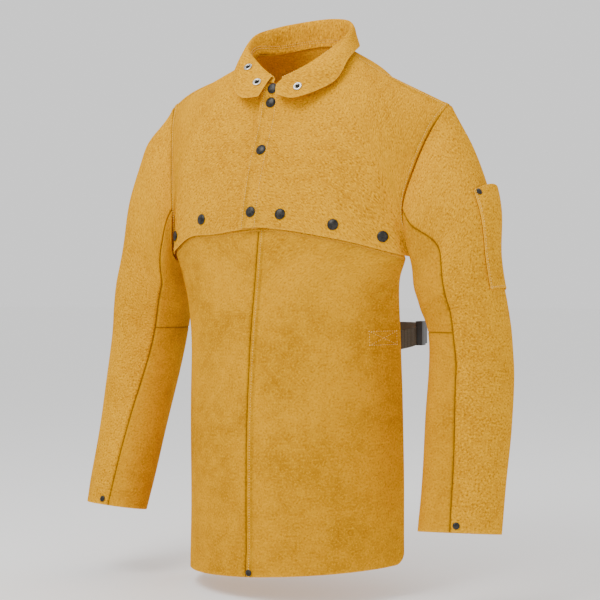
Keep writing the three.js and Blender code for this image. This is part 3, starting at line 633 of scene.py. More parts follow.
def hem_place(x, drop):
    """u and v on the front at x, drop millimetres over the hem."""
    v = np.array(1.0)
    for _ in range(7):
        u = u_at_x(front, x, v)
        v = 1 - drop / (np.linalg.norm(front(u, 1) - front(u, 0.8)) / 0.2)
    return u, v


snap_places, snap_normals = [], []
for x, drop in HEM_SNAPS:
    u, v = hem_place(x, drop)
    snap_places.append(front(u, v))
    snap_normals.append(-normal(front, u, v))
for v in FRONT_SNAPS:
    u = u_at_x(front, -13, np.array(v))
    snap_normals.append(-normal(front, u, v))
    snap_places.append(front(u, v) + snap_normals[-1] * RISE)
rivet_places, rivet_normals = [], []


def rivet_at(f, u, v, out, raised=0.0):
    """Notes a rivet on surface f."""
    rivet_normals.append(normal(f, u, v) * out)
    rivet_places.append(f(u, v) + rivet_normals[-1] * raised)


POCKET = (-1.75, 0.95)
POCKET_TOP, POCKET_BOTTOM = 1.66, 3.22


def mouth(u, v):
    """How far the pocket stands off the sleeve: most in the middle of its mouth."""
    a = np.clip((u - POCKET[0]) / (POCKET[1] - POCKET[0]), 0, 1)
    return 0.7 + 10 * np.sin(np.pi * a) * (1 - smooth(v, POCKET_TOP, POCKET_TOP + 1.1))


rivet_at(bib, BIB_SEAM + 0.022, 0.987, -1)
rivet_at(left_sleeve, 3 - 0.26, 5.945, 1)
rivet_at(right_sleeve, FRONT_SEAM["right"](6.0) - 0.26, 5.945, -1)
rivet_at(left_sleeve, POCKET[1] - 0.16, POCKET_TOP + 0.06, 1, mouth(POCKET[1] - 0.16, POCKET_TOP + 0.06) + LEATHER)
fixed = np.array(snap_places + rivet_places)
for place in (5, 6, 7, 8):
    fixed = np.vstack([fixed, snap_places[place] - snap_normals[place] * RISE])


def free(p, near=9.0, far=34.0):
    """0 beside a snap or rivet and 1 away from all of them."""
    d = np.linalg.norm(p[..., None, :] - fixed, axis=-1).min(-1)
    return smooth(d, near, far)


print(len(snap_places), "snaps and", len(rivet_places), "rivets hold the leather")

# %% [markdown]
# ## Folds
# Each fold is a line in space with a width and a height: leather bulges along it or sinks, and the rise
# fades at both ends. Long, very low waves are added, because no hide lies quite even.


# %% Folds and waves
def fold(p, start, end, width, height):
    """Height of one fold at points p. A negative height is a hollow."""
    a, b = np.array(start, float), np.array(end, float)
    along = b - a
    k = ((p - a) @ along) / (along @ along)
    off = np.linalg.norm(p - a - np.clip(k, 0, 1)[..., None] * along, axis=-1)
    fade = smooth(k, -0.25, 0.25) * (1 - smooth(k, 0.75, 1.25))
    return height * np.exp(-((off / width) ** 2)) * fade


def waves(p, size, height, phase=0.0):
    """Soft unevenness: three sine waves in different directions. size is in millimetres."""
    turns = [(1.0, 0.35, 0.2, 0.0), (-0.55, 0.8, 0.75, 1.9), (0.25, -0.5, 1.15, 4.1)]
    total = sum(np.sin((p @ np.array(t[:3])) * 2 * np.pi / size + t[3] + phase) for t in turns)
    return height * total / 3


CAPE_FOLDS = [
    ((176, -82, -190), (160, -92, -268), 15, -3.2),
    ((150, -92, -180), (132, -104, -246), 16, 1.6),
    ((-176, -80, -180), (-160, -92, -256), 15, -2.2),
    ((60, -104, -120), (95, -106, -200), 26, 1.5),
    ((-60, -104, -110), (-98, -106, -190), 26, 1.3),
]
BACK_FOLDS = [
    ((168, 64, -160), (150, 80, -262), 16, -3.2),
    ((-168, 64, -150), (-150, 80, -252), 16, -3.2),
    ((70, 96, -60), (98, 100, -220), 30, 2.2),
    ((-70, 96, -60), (-98, 100, -220), 30, 2.2),
]
BIB_FOLDS = [
    ((66, -140, -292), (40, -152, -405), 15, 2.3),
    ((100, -128, -300), (104, -136, -420), 16, -2.0),
    ((134, -100, -318), (128, -118, -430), 14, 2.0),
    ((-108, -125, -292), (-96, -138, -410), 17, 1.9),
    ((-60, -140, -300), (-66, -148, -400), 18, -1.5),
    ((60, -150, -520), (96, -140, -690), 32, 1.8),
    ((-84, -144, -470), (-76, -150, -690), 30, 1.6),
    ((10, -158, -560), (20, -160, -700), 30, -1.5),
]
ARM_FOLDS = [
    ((262, -84, -352), (220, -72, -392), 11, -2.4),
    ((268, -88, -392), (214, -80, -418), 12, 2.2),
    ((276, -86, -430), (226, -86, -438), 11, -1.8),
    ((246, -82, -268), (214, -74, -318), 12, -2.2),
    ((262, -78, -262), (240, -84, -330), 12, 1.8),
    ((300, -62, -300), (304, -70, -380), 22, 1.5),
    ((286, -98, -480), (290, -120, -580), 22, -1.6),
    ((240, -108, -470), (246, -128, -590), 18, 1.6),
    ((212, -10, -350), (214, -30, -420), 14, -2.0),
    ((250, 40, -350), (238, 30, -420), 14, 2.2),
    ((296, 6, -360), (300, -6, -430), 16, -1.6),
]


def folded(folds, size, height, phase=0.0):
    """The rise of a panel with these folds. It dies out at sewn edges, so that neighbours still meet."""

    def rise(p, still=1.0):
        total = waves(p, size, height, phase) + sum(fold(p, *one) for one in folds)
        return total * free(p) * still

    return rise


cape_rise = folded(CAPE_FOLDS, 190, 1.1)
back_rise = folded(BACK_FOLDS, 190, 1.3, 0.8)
bib_rise = folded(BIB_FOLDS, 230, 1.5, 1.7)
arm_rise = {
    "left": folded(ARM_FOLDS, 170, 1.2, 2.2),
    "right": folded([((-a[0], *a[1:]), (-b[0], *b[1:]), w, 0.7 * h) for a, b, w, h in ARM_FOLDS], 170, 1.1, 0.4),
}
print("folds: cape", len(CAPE_FOLDS), "bib", len(BIB_FOLDS), "each sleeve", len(ARM_FOLDS))

# %% [markdown]
# ## Cutting the panels
# Each real piece of leather becomes one sheet. Two splits are not in the leather: the back is made in
# halves and every sleeve panel in two lengths, because a bending mesh can cross only one joint. The
# halves share their points at the split and both keep the same slope, so no line shows.

# %% The cape
def cape_still(u, v):
    return smooth((1 - v) * 240, 2, 34) * smooth(1 - abs(u), 0, 0.09)


def left_lift(u, v, p):
    x = p[..., 0]
    lap = RISE * (1 - smooth(x, 3, 19)) + 0.7 * (1 - smooth(x, -1.5, 1.5)) * free(p, 7.6, 11)
    rows = np.exp(-(((x + 4.6) / 0.9) ** 2))
    # the stitch rows sink, and painted shade darkens their colour
    return lap - 0.3 * rows + cape_rise(p, cape_still(u, v)), 0.3 * rows


def front_lift(u, v, p):
    return cape_rise(p, cape_still(u, v))


def back_lift(u, v, p):
    return back_rise(p, cape_still(u, v))


cape_left = panel(
    "cape_front_left_leather", front, (lambda v: u_at_x(front, -OVERLAP, v), 1), (0.003, 1), (62, 60),
    ("turned", "topstitched", "sewn", "hem_and_armhole"), -1, left_lift,
)
cape_right = panel(
    "cape_front_right_leather", front, (-1, lambda v: u_at_x(front, -4, v)), (0.003, 1), (58, 60),
    ("topstitched", "cut", "sewn", "hem_and_armhole"), -1, front_lift,
)
PANEL_SHIFT.update(cape_back_left_leather=0.2, cape_back_right_leather=0.2)
back_left = panel(
    "cape_back_left_leather", back, (0, 1), (0.003, 1), (52, 60), ("open", "sewn", "sewn", "hem_and_armhole"), 1,
    back_lift, cut_from=(0, 0),
)
back_right = panel(
    "cape_back_right_leather", back, (-1, 0), (0.003, 1), (52, 60), ("sewn", "open", "sewn", "hem_and_armhole"), 1,
    back_lift, cut_from=(1, 0),
)

# %% [markdown]
# The collar is one strip folded over: its neck side becomes the visible face of the turned-down leaf.
# A row of points is added over the fold, so the bend is round and not a crease. Its lower edge reaches
# down inside the neckline, as a seam allowance does, so no light shows through the seam.

# %% The collar
stand_points, leaf_points = np.array(STAND_RAYS, float), np.array(LEAF_RAYS, float)
top_of_fold = (stand_points[:, 1] + leaf_points[:, 0]) / 2
top_of_fold[:, 2] = np.maximum(stand_points[:, 1, 2], leaf_points[:, 0, 2]) + 1.6
COLLAR_POINTS = np.concatenate([stand_points, top_of_fold[:, None], leaf_points], 1)
COLLAR_KNOTS = [0, 24, 27, 30, 50, 70]


def collar(u, v):
    """The folded strip: v is millimetres from the neck seam over the fold to the leaf's edge."""
    u, v, shape = pair(u, v)
    at = np.einsum("nm,rmc->nrc", weights(COLLAR_KNOTS, v), COLLAR_POINTS)
    return np.einsum("nr,nrc->nc", weights(range(15), u * 14), at).reshape(shape)


def collar_unit(u, v):
    return collar(u, v * 70)


collar_piece = panel(
    "collar_leather", collar_unit, (0, 1), (-0.08, 1), (110, 48), ("cut", "cut", "sewn", "cut"), 1,
)
for u, v in COLLAR_SNAPS:
    snap_normals.append(normal(collar_unit, u, (30 + 40 * v) / 70))
    snap_places.append(collar(u, 30 + 40 * v))

# %% Sleeves
PARTS = {"top": (0, 3), "bottom": (3, 6)}
sleeve_pieces = {}
for side, (surface, out) in SLEEVES.items():
    seam, rear = FRONT_SEAM[side], BACK_SEAM[side]

    def arm_lift(u, v, p, rise=arm_rise[side]):
        return rise(p, smooth(arm_length(v), 2, 45) * (1 - smooth(arm_length(v), 470, 507) * 0.6))

    for part, span in PARTS.items():
        ends = ("sewn", "open") if part == "top" else ("open", "cut")
        rows = 66 if part == "top" else 84
        span = (0.006, 3) if part == "top" else (3, 6)
        for kind, shift in (("outer", 0.3), ("under", 1.1)):
            PANEL_SHIFT[f"sleeve_{kind}_{part}_{side}_leather"] = shift + (side == "left") * 2
        cut_from = (None, 0 if part == "top" else 200)
        sleeve_pieces["outer", part, side] = panel(
            f"sleeve_outer_{part}_{side}_leather", surface,
            (rear - 10 + 0.004, lambda t, s=seam: s(t) - 0.004), span,
            (52, rows), ("sewn", "sewn", *ends), out, arm_lift, cut_from=cut_from,
        )
        sleeve_pieces["under", part, side] = panel(
            f"sleeve_under_{part}_{side}_leather", surface,
            (lambda t, s=seam: s(t) + 0.004, rear - 0.004), span,
            (36, rows), ("sewn", "sewn", *ends), out, arm_lift, v_lines=() if part == "top" else (1 / 3,),
            cut_from=cut_from,
        )


# %% The pocket
def pocket_lift(u, v, p):
    still = smooth(arm_length(v), 2, 45) * (1 - smooth(arm_length(v), 470, 507) * 0.6)
    return mouth(u, v) + LEATHER + arm_rise["left"](p, still)


pocket = panel(
    "sleeve_pocket_leather", left_sleeve, POCKET, (POCKET_TOP, POCKET_BOTTOM), (40, 44), ("cut",) * 4, 1, pocket_lift,
)

# %% [markdown]
# The bib's lower corners are rounded with scissors. The surface does it: near a side edge the lowest
# rows end higher, along a quarter circle.

# %% The bib and its band
CORNER_MM = 17


def bib_cut(u, v):
    """The bib's surface with rounded lower corners."""
    reach = np.clip((abs(u) - 1) * 236 / CORNER_MM + 1, 0, 1)
    cut = CORNER_MM * (1 - np.sqrt(1 - np.minimum(reach, 0.999) ** 2)) / 458
    return bib(u, v - cut * np.clip(v, 0, 1) ** 10)


def bib_lift(u, v, p):
    at_strap = np.exp(-(((v - 0.319) / 0.05) ** 2)) * smooth(abs(u), 0.6, 0.75)
    return bib_rise(p, smooth(v * 458, 10, 62) * (1 - at_strap))


def band_surface(u, v):
    return behind(u * BIB_U, BAND * (1 - v) + (BIB_START + 0.05) * v)


bib_right = panel(
    "bib_right_leather", bib_cut, (-1, BIB_SEAM - 0.0006), (0, 1), (56, 110), ("cut", "sewn", "cut", "cut"), -1, bib_lift,
)
bib_left = panel(
    "bib_left_leather", bib_cut, (BIB_SEAM + 0.0006, 1), (0, 1), (56, 110), ("topstitched", "cut", "cut", "cut"), -1,
    bib_lift,
)
bib_band = panel("bib_band_leather", band_surface, (-1, 1), (0, 1), (90, 10), ("cut",) * 4, -1)
print(len(SIZES), "sheets of leather,", round(sum(s[1] for s in SIZES.values()), 2), "square metres")

# %% [markdown]
# ## Stitches
# Every row of stitches repeats one small shape along a line, which is what Geometry Nodes are for. The
# line is a polyline on the leather that carries the leather's direction in an attribute. The tree
# resamples it at the stitch length, turns a stretched sphere along it at each point, and makes the
# copies real.


# %% The stitch tree
def inputs_of(tree, sizes):
    """Named inputs of a Geometry Nodes tree, with their default values."""
    tree.interface.new_socket("Geometry", in_out="INPUT", socket_type="NodeSocketGeometry")
    tree.interface.new_socket("Geometry", in_out="OUTPUT", socket_type="NodeSocketGeometry")
    for name, value in sizes.items():
        kind = {int: "NodeSocketInt", float: "NodeSocketFloat"}.get(type(value), value if isinstance(value, str) else "")
        made = tree.interface.new_socket(name, in_out="INPUT", socket_type=kind)
        if not isinstance(value, str):
            made.default_value = value
    return node(tree, "NodeGroupInput").outputs


stitch_tree = bpy.data.node_groups.new("stitch_rows", "GeometryNodeTree")
given = inputs_of(
    stitch_tree, {"Pitch": 0.0034, "Length": 0.0024, "Width": 0.0009, "Seed": 3, "Thread": "NodeSocketMaterial"}
)
curve = node(stitch_tree, "GeometryNodeMeshToCurve", {"Mesh": given["Geometry"]})
even = node(
    stitch_tree, "GeometryNodeResampleCurve", {"Curve": curve.outputs[0], "Length": given["Pitch"]}, mode="LENGTH"
)
tangent = node(stitch_tree, "GeometryNodeInputTangent")
out_of = node(stitch_tree, "GeometryNodeInputNamedAttribute", {"Name": "out"}, data_type="FLOAT_VECTOR")
axes = {0: out_of.outputs["Attribute"], 1: tangent.outputs[0]}
turn = node(stitch_tree, "FunctionNodeAxesToRotation", axes, primary_axis="Z", secondary_axis="X")
ball = node(stitch_tree, "GeometryNodeMeshUVSphere", {"Segments": 6, "Rings": 4, "Radius": 0.5})
scale = node(stitch_tree, "ShaderNodeCombineXYZ", {0: given["Length"], 1: given["Width"], 2: given["Width"]})
shaped = node(stitch_tree, "GeometryNodeTransform", {"Geometry": ball.outputs[0], "Scale": scale.outputs[0]})
laid = node(stitch_tree, "GeometryNodeInstanceOnPoints", {
    "Points": even.outputs[0], "Instance": shaped.outputs[0], "Rotation": turn.outputs[0],
})
wander = node(stitch_tree, "FunctionNodeRandomValue", {2: -0.12, 3: 0.12, "Seed": given["Seed"]}, data_type="FLOAT")
spin = node(stitch_tree, "ShaderNodeCombineXYZ", {2: wander.outputs[1]})
spun = node(stitch_tree, "GeometryNodeRotateInstances", {"Instances": laid.outputs[0], "Rotation": spin.outputs[0]})
real = node(stitch_tree, "GeometryNodeRealizeInstances", {0: spun.outputs[0]})
soft = node(stitch_tree, "GeometryNodeSetShadeSmooth", {0: real.outputs[0]})
coloured = node(stitch_tree, "GeometryNodeSetMaterial", {0: soft.outputs[0], "Material": given["Thread"]})
node(stitch_tree, "NodeGroupOutput", {0: coloured.outputs[0]})


def grown(name, points, edges, fields, tree, values):
    """Runs a Geometry Nodes tree on points and gives the result as a plain mesh piece."""
    seed = bpy.data.meshes.new(name + "_line")
    seed.from_pydata(np.asarray(points) * MM, edges, [])
    for key, value in fields.items():
        stored = seed.attributes.new(key, "FLOAT_VECTOR", "POINT")
        stored.data.foreach_set("vector", np.asarray(value, np.float32).ravel())
    source = bpy.data.objects.new(name + "_source", seed)
    bpy.context.collection.objects.link(source)
    modifier = source.modifiers.new("grow", "NODES")
    sockets = {s.name: s.identifier for s in tree.interface.items_tree if s.in_out == "INPUT"}
    modifier.node_group = tree
    for key, value in values.items():
        modifier[sockets[key]] = value
    bpy.context.view_layer.update()
    ready = source.evaluated_get(bpy.context.evaluated_depsgraph_get())
    mesh = bpy.data.meshes.new_from_object(ready)
    mesh.name = name
    bpy.data.objects.remove(source)
    bpy.data.meshes.remove(seed)
    made = bpy.data.objects.new(name, mesh)
    bpy.context.collection.objects.link(made)
    print(name, len(mesh.polygons), "faces")
    return made


# %% Where the rows run
def beside(name, side, d, start=0.0, end=1.0):
    """Points and outward directions on a panel's face, d mm from one of its edges: u0, u1, v0 or v1."""
    outer, n, along_u, along_v = FACES[name]
    along, grid, way = along_u, outer, n
    if side[0] == "v":
        along, grid, way = along_v.T, outer.swapaxes(0, 1), n.swapaxes(0, 1)
    wanted = d if side[1] == "0" else along[-1] - d
    wanted = np.broadcast_to(wanted, along.shape[1])
    first, last = int(start * along.shape[1]), max(2, int(end * along.shape[1]))
    places, ways = [], []
    for j in range(first, last):
        pick = [np.interp(wanted[j], along[:, j], grid[:, j, c]) for c in range(3)]
        turn_out = [np.interp(wanted[j], along[:, j], way[:, j, c]) for c in range(3)]
        places.append(pick)
        ways.append(turn_out)
    return np.array(places), np.array(ways)


def on_face(name, f, u, v):
    """Points of surface f at u, v, moved to the nearest point of a panel's real face."""
    outer, n, _, _ = FACES[name]
    flat_points, flat_ways = outer.reshape(-1, 3), n.reshape(-1, 3)
    found, ways = [], []
    for p in f(u, v):
        near = np.argsort(((flat_points - p) ** 2).sum(-1))[:4]
        way = flat_ways[near].mean(0)
        way /= np.linalg.norm(way)
        found.append(p + way * np.dot(flat_points[near].mean(0) - p, way))
        ways.append(way)
    return np.array(found), np.array(ways)


def stitched(name, rows, thread, **values):
    """One piece with all the rows of stitches that ride on one body."""
    points, ways, edges = [], [], []
    for places, out_ways in rows:
        first = len(points)
        points += list(places + out_ways * 0.15)
        ways += list(out_ways)
        edges += [(i, i + 1) for i in range(first, len(points) - 1)]
    return grown(name, points, edges, {"out": ways}, stitch_tree, {"Thread": thread, **values})

# %% [markdown]
# ## Materials
# **Split cowhide, brushed.** The flesh side of a hide is ground to a nap, dyed golden and left unsealed.
# The eye gets three things from it: patches a hand wide where the dye took differently, a fine speckle
# of fibre tips, and a soft glow at grazing angles, which is sheen. Gloss there is none. All patterns
# run on the cut panel's own coordinates, in metres, so they bend with the leather. The speckle is drawn
# at about 3 mm, coarser than the fibres are, so that it still shows at this distance.


# %% Leather
def leather(name, body, deep, bright, speckle, patches):
    """Brushed split leather. body, deep and bright are its colours, speckle and patches their strengths."""
    material, tree, shader = blank_material(name)
    place = node(tree, "ShaderNodeUVMap", uv_map="cut").outputs[0]

    def noise(size_m, detail, rough=0.55, shift=0.0):
        moved = node(tree, "ShaderNodeMapping", {"Vector": place, "Location": (shift, shift * 0.6, 0)})
        return node(
            tree, "ShaderNodeTexNoise", {"Vector": moved.outputs[0], "Scale": 1 / size_m, "Detail": detail, "Roughness": rough}
        ).outputs[0]

    def ramp(value, low, high):
        made = node(tree, "ShaderNodeMapRange", {0: value, 1: low, 2: high}, interpolation_type="SMOOTHSTEP")
        return made.outputs[0]

    def times(a, b):
        return node(tree, "ShaderNodeMath", {0: a, 1: b}, operation="MULTIPLY").outputs[0]

    def mixed(share, a, b):
        made = node(tree, "ShaderNodeMix", data_type="RGBA")
        for slot_number, value in ((0, share), (6, a), (7, b)):
            if isinstance(value, bpy.types.NodeSocket):
                tree.links.new(value, made.inputs[slot_number])
            else:
                made.inputs[slot_number].default_value = value
        return made.outputs[2]

    hand_wide = ramp(noise(0.085, 3, 0.5, 3.1), 0.36, 0.66)
    brushed = ramp(noise(0.014, 4, 0.6, 7.7), 0.34, 0.7)
    fibre = noise(0.0028, 3, 0.65, 1.3)
    tips = ramp(fibre, 0.52, 0.66)
    pits = ramp(fibre, 0.48, 0.34)
    colour = mixed(times(hand_wide, patches), linear(body), linear(deep))
    colour = mixed(times(brushed, 0.34), colour, linear(bright))
    colour = mixed(times(tips, speckle), colour, linear(bright))
    colour = mixed(times(pits, speckle * 0.75), colour, linear("#965A00"))

    def field(key):
        return node(tree, "ShaderNodeAttribute", attribute_name=key).outputs["Fac"]

    # the inner face is painted paler: partly the flesh side's own tone, partly painted light that lifts the shade
    # inside the collar and cape
    colour = mixed(times(field("inside"), 0.4), colour, linear("#EDAA1C"))
    colour = mixed(times(field("pale"), 0.45), colour, linear("#FFC23C"))
    # painted shade: the colour turns dark brown in seam and stitch hollows
    colour = mixed(times(field("painted_shade"), 0.66), colour, linear("#4A2C00"))
    tree.links.new(colour, shader.inputs["Base Color"])
    rough = node(tree, "ShaderNodeMapRange", {0: fibre, 3: 0.86, 4: 1.0}).outputs[0]
    tree.links.new(rough, shader.inputs["Roughness"])
    shader.inputs["IOR"].default_value = 1.45
    shader.inputs["Specular IOR Level"].default_value = 0.03
    shader.inputs["Sheen Weight"].default_value = 0.02
    shader.inputs["Sheen Roughness"].default_value = 0.45
    shader.inputs["Sheen Tint"].default_value = linear("#FFA028")
    nap = node(tree, "ShaderNodeBump", {"Strength": 0.9, "Distance": 0.0011, "Height": fibre})
    scuffs = node(tree, "ShaderNodeBump", {
        "Strength": 0.45, "Distance": 0.0022, "Height": noise(0.014, 4, 0.6, 7.7), "Normal": nap.outputs[0],
    })
    tree.links.new(scuffs.outputs[0], shader.inputs["Normal"])
    return material


hide_outer = leather("split_cowhide_brushed_coarse", "#DA9800", "#BA7A00", "#FBB80C", 0.9, 0.5)
hide_under = leather("split_cowhide_brushed_fine", "#D09000", "#AC7000", "#ECAA0C", 0.6, 0.5)
hide_bib = leather("split_cowhide_brushed_bib", "#D49400", "#AC7200", "#F0B010", 0.6, 0.7)

# %% [markdown]
# ** Thread** is twisted aramid, pale yellow and dull. **Snap caps and rivets** are brass under black
# lacquer: dark and half glossy. **Press-stud faces** are nickel plate, bright and a little cloudy.
# **Webbing** is woven polyester; **the buckle** is moulded acetal, matt from its spark-eroded mould.


# %% Thread, metals, webbing and plastic
def plain(name, colour, other, size_m, metallic, rough, spread, bump=0.0):
    """A finish with one soft pattern between two colours, on Object coordinates."""
    material, tree, shader = blank_material(name)
    place = node(tree, "ShaderNodeTexCoord").outputs["Object"]
    pattern = node(tree, "ShaderNodeTexNoise", {"Vector": place, "Scale": 1 / size_m, "Detail": 3}).outputs[0]
    ramp = node(tree, "ShaderNodeValToRGB", {0: pattern})
    ramp.color_ramp.elements[0].color, ramp.color_ramp.elements[1].color = linear(colour), linear(other)
    ramp.color_ramp.elements[0].position, ramp.color_ramp.elements[1].position = 0.38, 0.66
    tree.links.new(ramp.outputs[0], shader.inputs["Base Color"])
    spread_out = node(tree, "ShaderNodeMapRange", {0: pattern, 3: rough - spread, 4: rough + spread})
    tree.links.new(spread_out.outputs[0], shader.inputs["Roughness"])
    shader.inputs["Metallic"].default_value = metallic
    if bump:
        made = node(tree, "ShaderNodeBump", {"Strength": 0.4, "Distance": bump, "Height": pattern})
        tree.links.new(made.outputs[0], shader.inputs["Normal"])
    return material


thread = plain("aramid_thread_yellow", "#E0AC3C", "#FFD880", 0.0016, 0, 0.8, 0.05, 0.0002)
lacquered = plain("brass_black_lacquer", "#1E1D1A", "#3B3833", 0.004, 0.55, 0.38, 0.1)
nickel = plain("nickel_plate_cloudy", "#A9A69E", "#DAD7CF", 0.003, 1.0, 0.26, 0.1)
acetal = plain("acetal_black_matt", "#1F1E1B", "#2C2A26", 0.0012, 0, 0.5, 0.06, 0.0001)

webbing_material, tree, shader = blank_material("polyester_webbing_olive_black")
place = node(tree, "ShaderNodeUVMap", uv_map="cut").outputs[0]
RIB_M = 0.0016
rib_inputs = {"Vector": place, "Scale": 1 / RIB_M / 6.283, "Distortion": 0.4, "Detail": 1}
ribs = node(tree, "ShaderNodeTexWave", rib_inputs, bands_direction="X")
yarn = node(tree, "ShaderNodeTexNoise", {"Vector": place, "Scale": 900, "Detail": 2}).outputs[0]
shade = node(tree, "ShaderNodeMath", {0: ribs.outputs[1], 1: yarn}, operation="MULTIPLY").outputs[0]
ramp = node(tree, "ShaderNodeValToRGB", {0: shade})
ramp.color_ramp.elements[0].color, ramp.color_ramp.elements[1].color = linear("#24221B"), linear("#6A6450")
ramp.color_ramp.elements[1].position = 0.6
tree.links.new(ramp.outputs[0], shader.inputs["Base Color"])
shader.inputs["Roughness"].default_value = 0.8
shader.inputs["Sheen Weight"].default_value = 0.15
weave = node(tree, "ShaderNodeBump", {"Strength": 0.6, "Distance": 0.0004, "Height": ribs.outputs[1]})
tree.links.new(weave.outputs[0], shader.inputs["Normal"])

hides = {
    hide_outer: [cape_left, cape_right, back_left, back_right, collar_piece, pocket, bib_band],
    hide_under: [p for key, p in sleeve_pieces.items() if key[0] == "under"],
    hide_bib: [bib_left, bib_right],
}
hides[hide_outer] += [p for key, p in sleeve_pieces.items() if key[0] == "outer"]
for material, some in hides.items():
    for piece in some:
        piece.data.materials.append(material)
print(sum(len(some) for some in hides.values()), "sheets have their leather")

# %% [markdown]
# The visible rows: two beside the front's overlap, one along each armhole and shoulder on the cape's
# side, two round the neck seam inside, one beside the bib's seam, one round the pocket and a box where
# the strap is sewn to the bib.

# %% Rows of stitches
cape_rows = {"left": [beside("cape_front_left_leather", "u0", d, 0.02, 0.985) for d in (5.2, 25.4)], "right": []}
for name in [f"cape_{face}_{hand}_leather" for face in ("front", "back") for hand in ("left", "right")]:
    hand = "left" if "left" in name else "right"
    last_row = FACES[name][0][:, -1]
    armhole = np.where((last_row[:, 2] > -280) & (abs(last_row[:, 0]) > 176))[0]
    start, end = armhole[0] / len(last_row), (armhole[-1] + 1) / len(last_row)
    cape_rows[hand].append(beside(name, "v1", 5.2, start, end))
    if "front" in name:
        cape_rows[hand].append(beside(name, "u1" if hand == "left" else "u0", 5.2, 0.02, 0.97))
cape_rows["left"] += [beside("collar_leather", "v0", height, 0.01, 0.99) for height in (9.5, 13)]
cape_stitches = {hand: stitched(f"cape_stitches_{hand}", rows, thread) for hand, rows in cape_rows.items()}

bib_rows = [beside("bib_left_leather", "u0", 5.2, 0.01, 0.99)]
BOX = [(0.745, 0.2985), (0.965, 0.2985), (0.965, 0.3385), (0.745, 0.3385), (0.745, 0.2985)]
for (a, b), (c, d) in [*zip(BOX[:-1], BOX[1:]), (BOX[0], BOX[2]), (BOX[1], BOX[3])]:
    bib_rows.append(on_face("bib_left_leather", bib, np.linspace(a, c, 16), np.linspace(b, d, 16)))
    bib_rows.append(on_face("bib_right_leather", bib, -np.linspace(a, c, 16), np.linspace(b, d, 16)))
bib_stitches = stitched("bib_stitches", bib_rows, thread)
pocket_rows = [beside("sleeve_pocket_leather", edge, 2.4, 0.02, 0.98) for edge in ("u0", "u1", "v1")]
pocket_stitches = stitched("pocket_stitches", pocket_rows, thread)

# %% [markdown]
# ## Snaps, rivets and press-stud faces
# They are turned parts, so each is a profile spun round an axis. One tree sets a copy on every point
# and turns its axis to the leather's direction. The profiles carry rolled rims, as pressed caps have.


# %% Turned shapes
def turned(name, profile, segments=28):
    """A closed turned shape about Z from (radius, height) pairs in mm, kept aside as a pattern."""
    work = bmesh.new()
    rings_made = []
    for r, z in profile:
        if r == 0:
            rings_made.append([work.verts.new((0, 0, z * MM))])
            continue
        angles = np.arange(segments) * 2 * np.pi / segments
        rings_made.append([work.verts.new((r * MM * np.cos(a), r * MM * np.sin(a), z * MM)) for a in angles])
    for low, high in zip(rings_made[:-1], rings_made[1:]):
        for i in range(segments):
            j = (i + 1) % segments
            loop = [low[i % len(low)], low[j % len(low)], high[j % len(high)], high[i % len(high)]]
            work.faces.new(list(dict.fromkeys(loop)))
    bmesh.ops.recalc_face_normals(work, faces=work.faces)
    mesh = bpy.data.meshes.new(name)
    work.to_mesh(mesh)
    work.free()
    mesh.shade_smooth()
    # the middle, inside 3.4 mm, is masked for the painted shade in a stud's hollow
    well_shade_mask = np.array([np.hypot(v.co.x, v.co.y) < 3.4 * MM for v in mesh.vertices], np.float32)
    mesh.attributes.new("well_shade_mask", "FLOAT", "POINT").data.foreach_set("value", well_shade_mask)
    made = bpy.data.objects.new(name, mesh)
    bpy.context.collection.objects.link(made)
    return made


cap_shape = turned("cap_pattern", [
    (0, -2), (2.6, -2), (2.6, 0.3), (7.0, 0.3), (7.4, 0.5), (7.5, 0.9), (7.35, 1.3), (6.9, 1.72), (6.0, 2.3),
    (4.6, 2.82), (2.6, 3.18), (1.2, 3.28), (0, 3.3),
])


def rivet_shape(depth):
    return turned("rivet_pattern", [
        (0, -depth - 1.3), (3.3, -depth - 1.3), (3.6, -depth - 1.0), (3.6, -depth - 0.3), (1.6, -depth - 0.3), (1.6, 0.3),
        (4.2, 0.3), (4.45, 0.45), (4.5, 0.7), (4.3, 1.05), (3.4, 1.6), (1.9, 2.0), (0, 2.1),
    ], 24)


stud_shape = turned("stud_face_pattern", [
    (0, -2.4), (3.6, -2.4), (3.6, -1.8), (1.8, -1.8), (1.8, 0.3), (5.9, 0.3), (6.2, 0.5), (6.25, 0.9), (6.0, 1.35),
    (5.3, 1.62), (4.3, 1.6), (3.7, 1.35), (3.4, 0.85), (2.6, 0.7), (2.2, 1.0), (1.5, 1.25), (0, 1.3),
])

hardware_tree = bpy.data.node_groups.new("hardware_on_points", "GeometryNodeTree")
given = inputs_of(hardware_tree, {"Size": 1.0, "Seed": 5, "Shape": "NodeSocketObject", "Finish": "NodeSocketMaterial"})
shape = node(hardware_tree, "GeometryNodeObjectInfo", {"Object": given["Shape"]})
out_of = node(hardware_tree, "GeometryNodeInputNamedAttribute", {"Name": "out"}, data_type="FLOAT_VECTOR")
turn = node(hardware_tree, "FunctionNodeAlignRotationToVector", {"Vector": out_of.outputs["Attribute"]}, axis="Z")
laid = node(hardware_tree, "GeometryNodeInstanceOnPoints", {
    "Points": given["Geometry"], "Instance": shape.outputs["Geometry"], "Rotation": turn.outputs[0], "Scale": given["Size"],
})
whim = node(hardware_tree, "FunctionNodeRandomValue", {2: 0.0, 3: 6.28, "Seed": given["Seed"]}, data_type="FLOAT")
spin = node(hardware_tree, "ShaderNodeCombineXYZ", {2: whim.outputs[1]})
spun = node(hardware_tree, "GeometryNodeRotateInstances", {"Instances": laid.outputs[0], "Rotation": spin.outputs[0]})
real = node(hardware_tree, "GeometryNodeRealizeInstances", {0: spun.outputs[0]})
coloured = node(hardware_tree, "GeometryNodeSetMaterial", {0: real.outputs[0], "Material": given["Finish"]})
node(hardware_tree, "NodeGroupOutput", {0: coloured.outputs[0]})


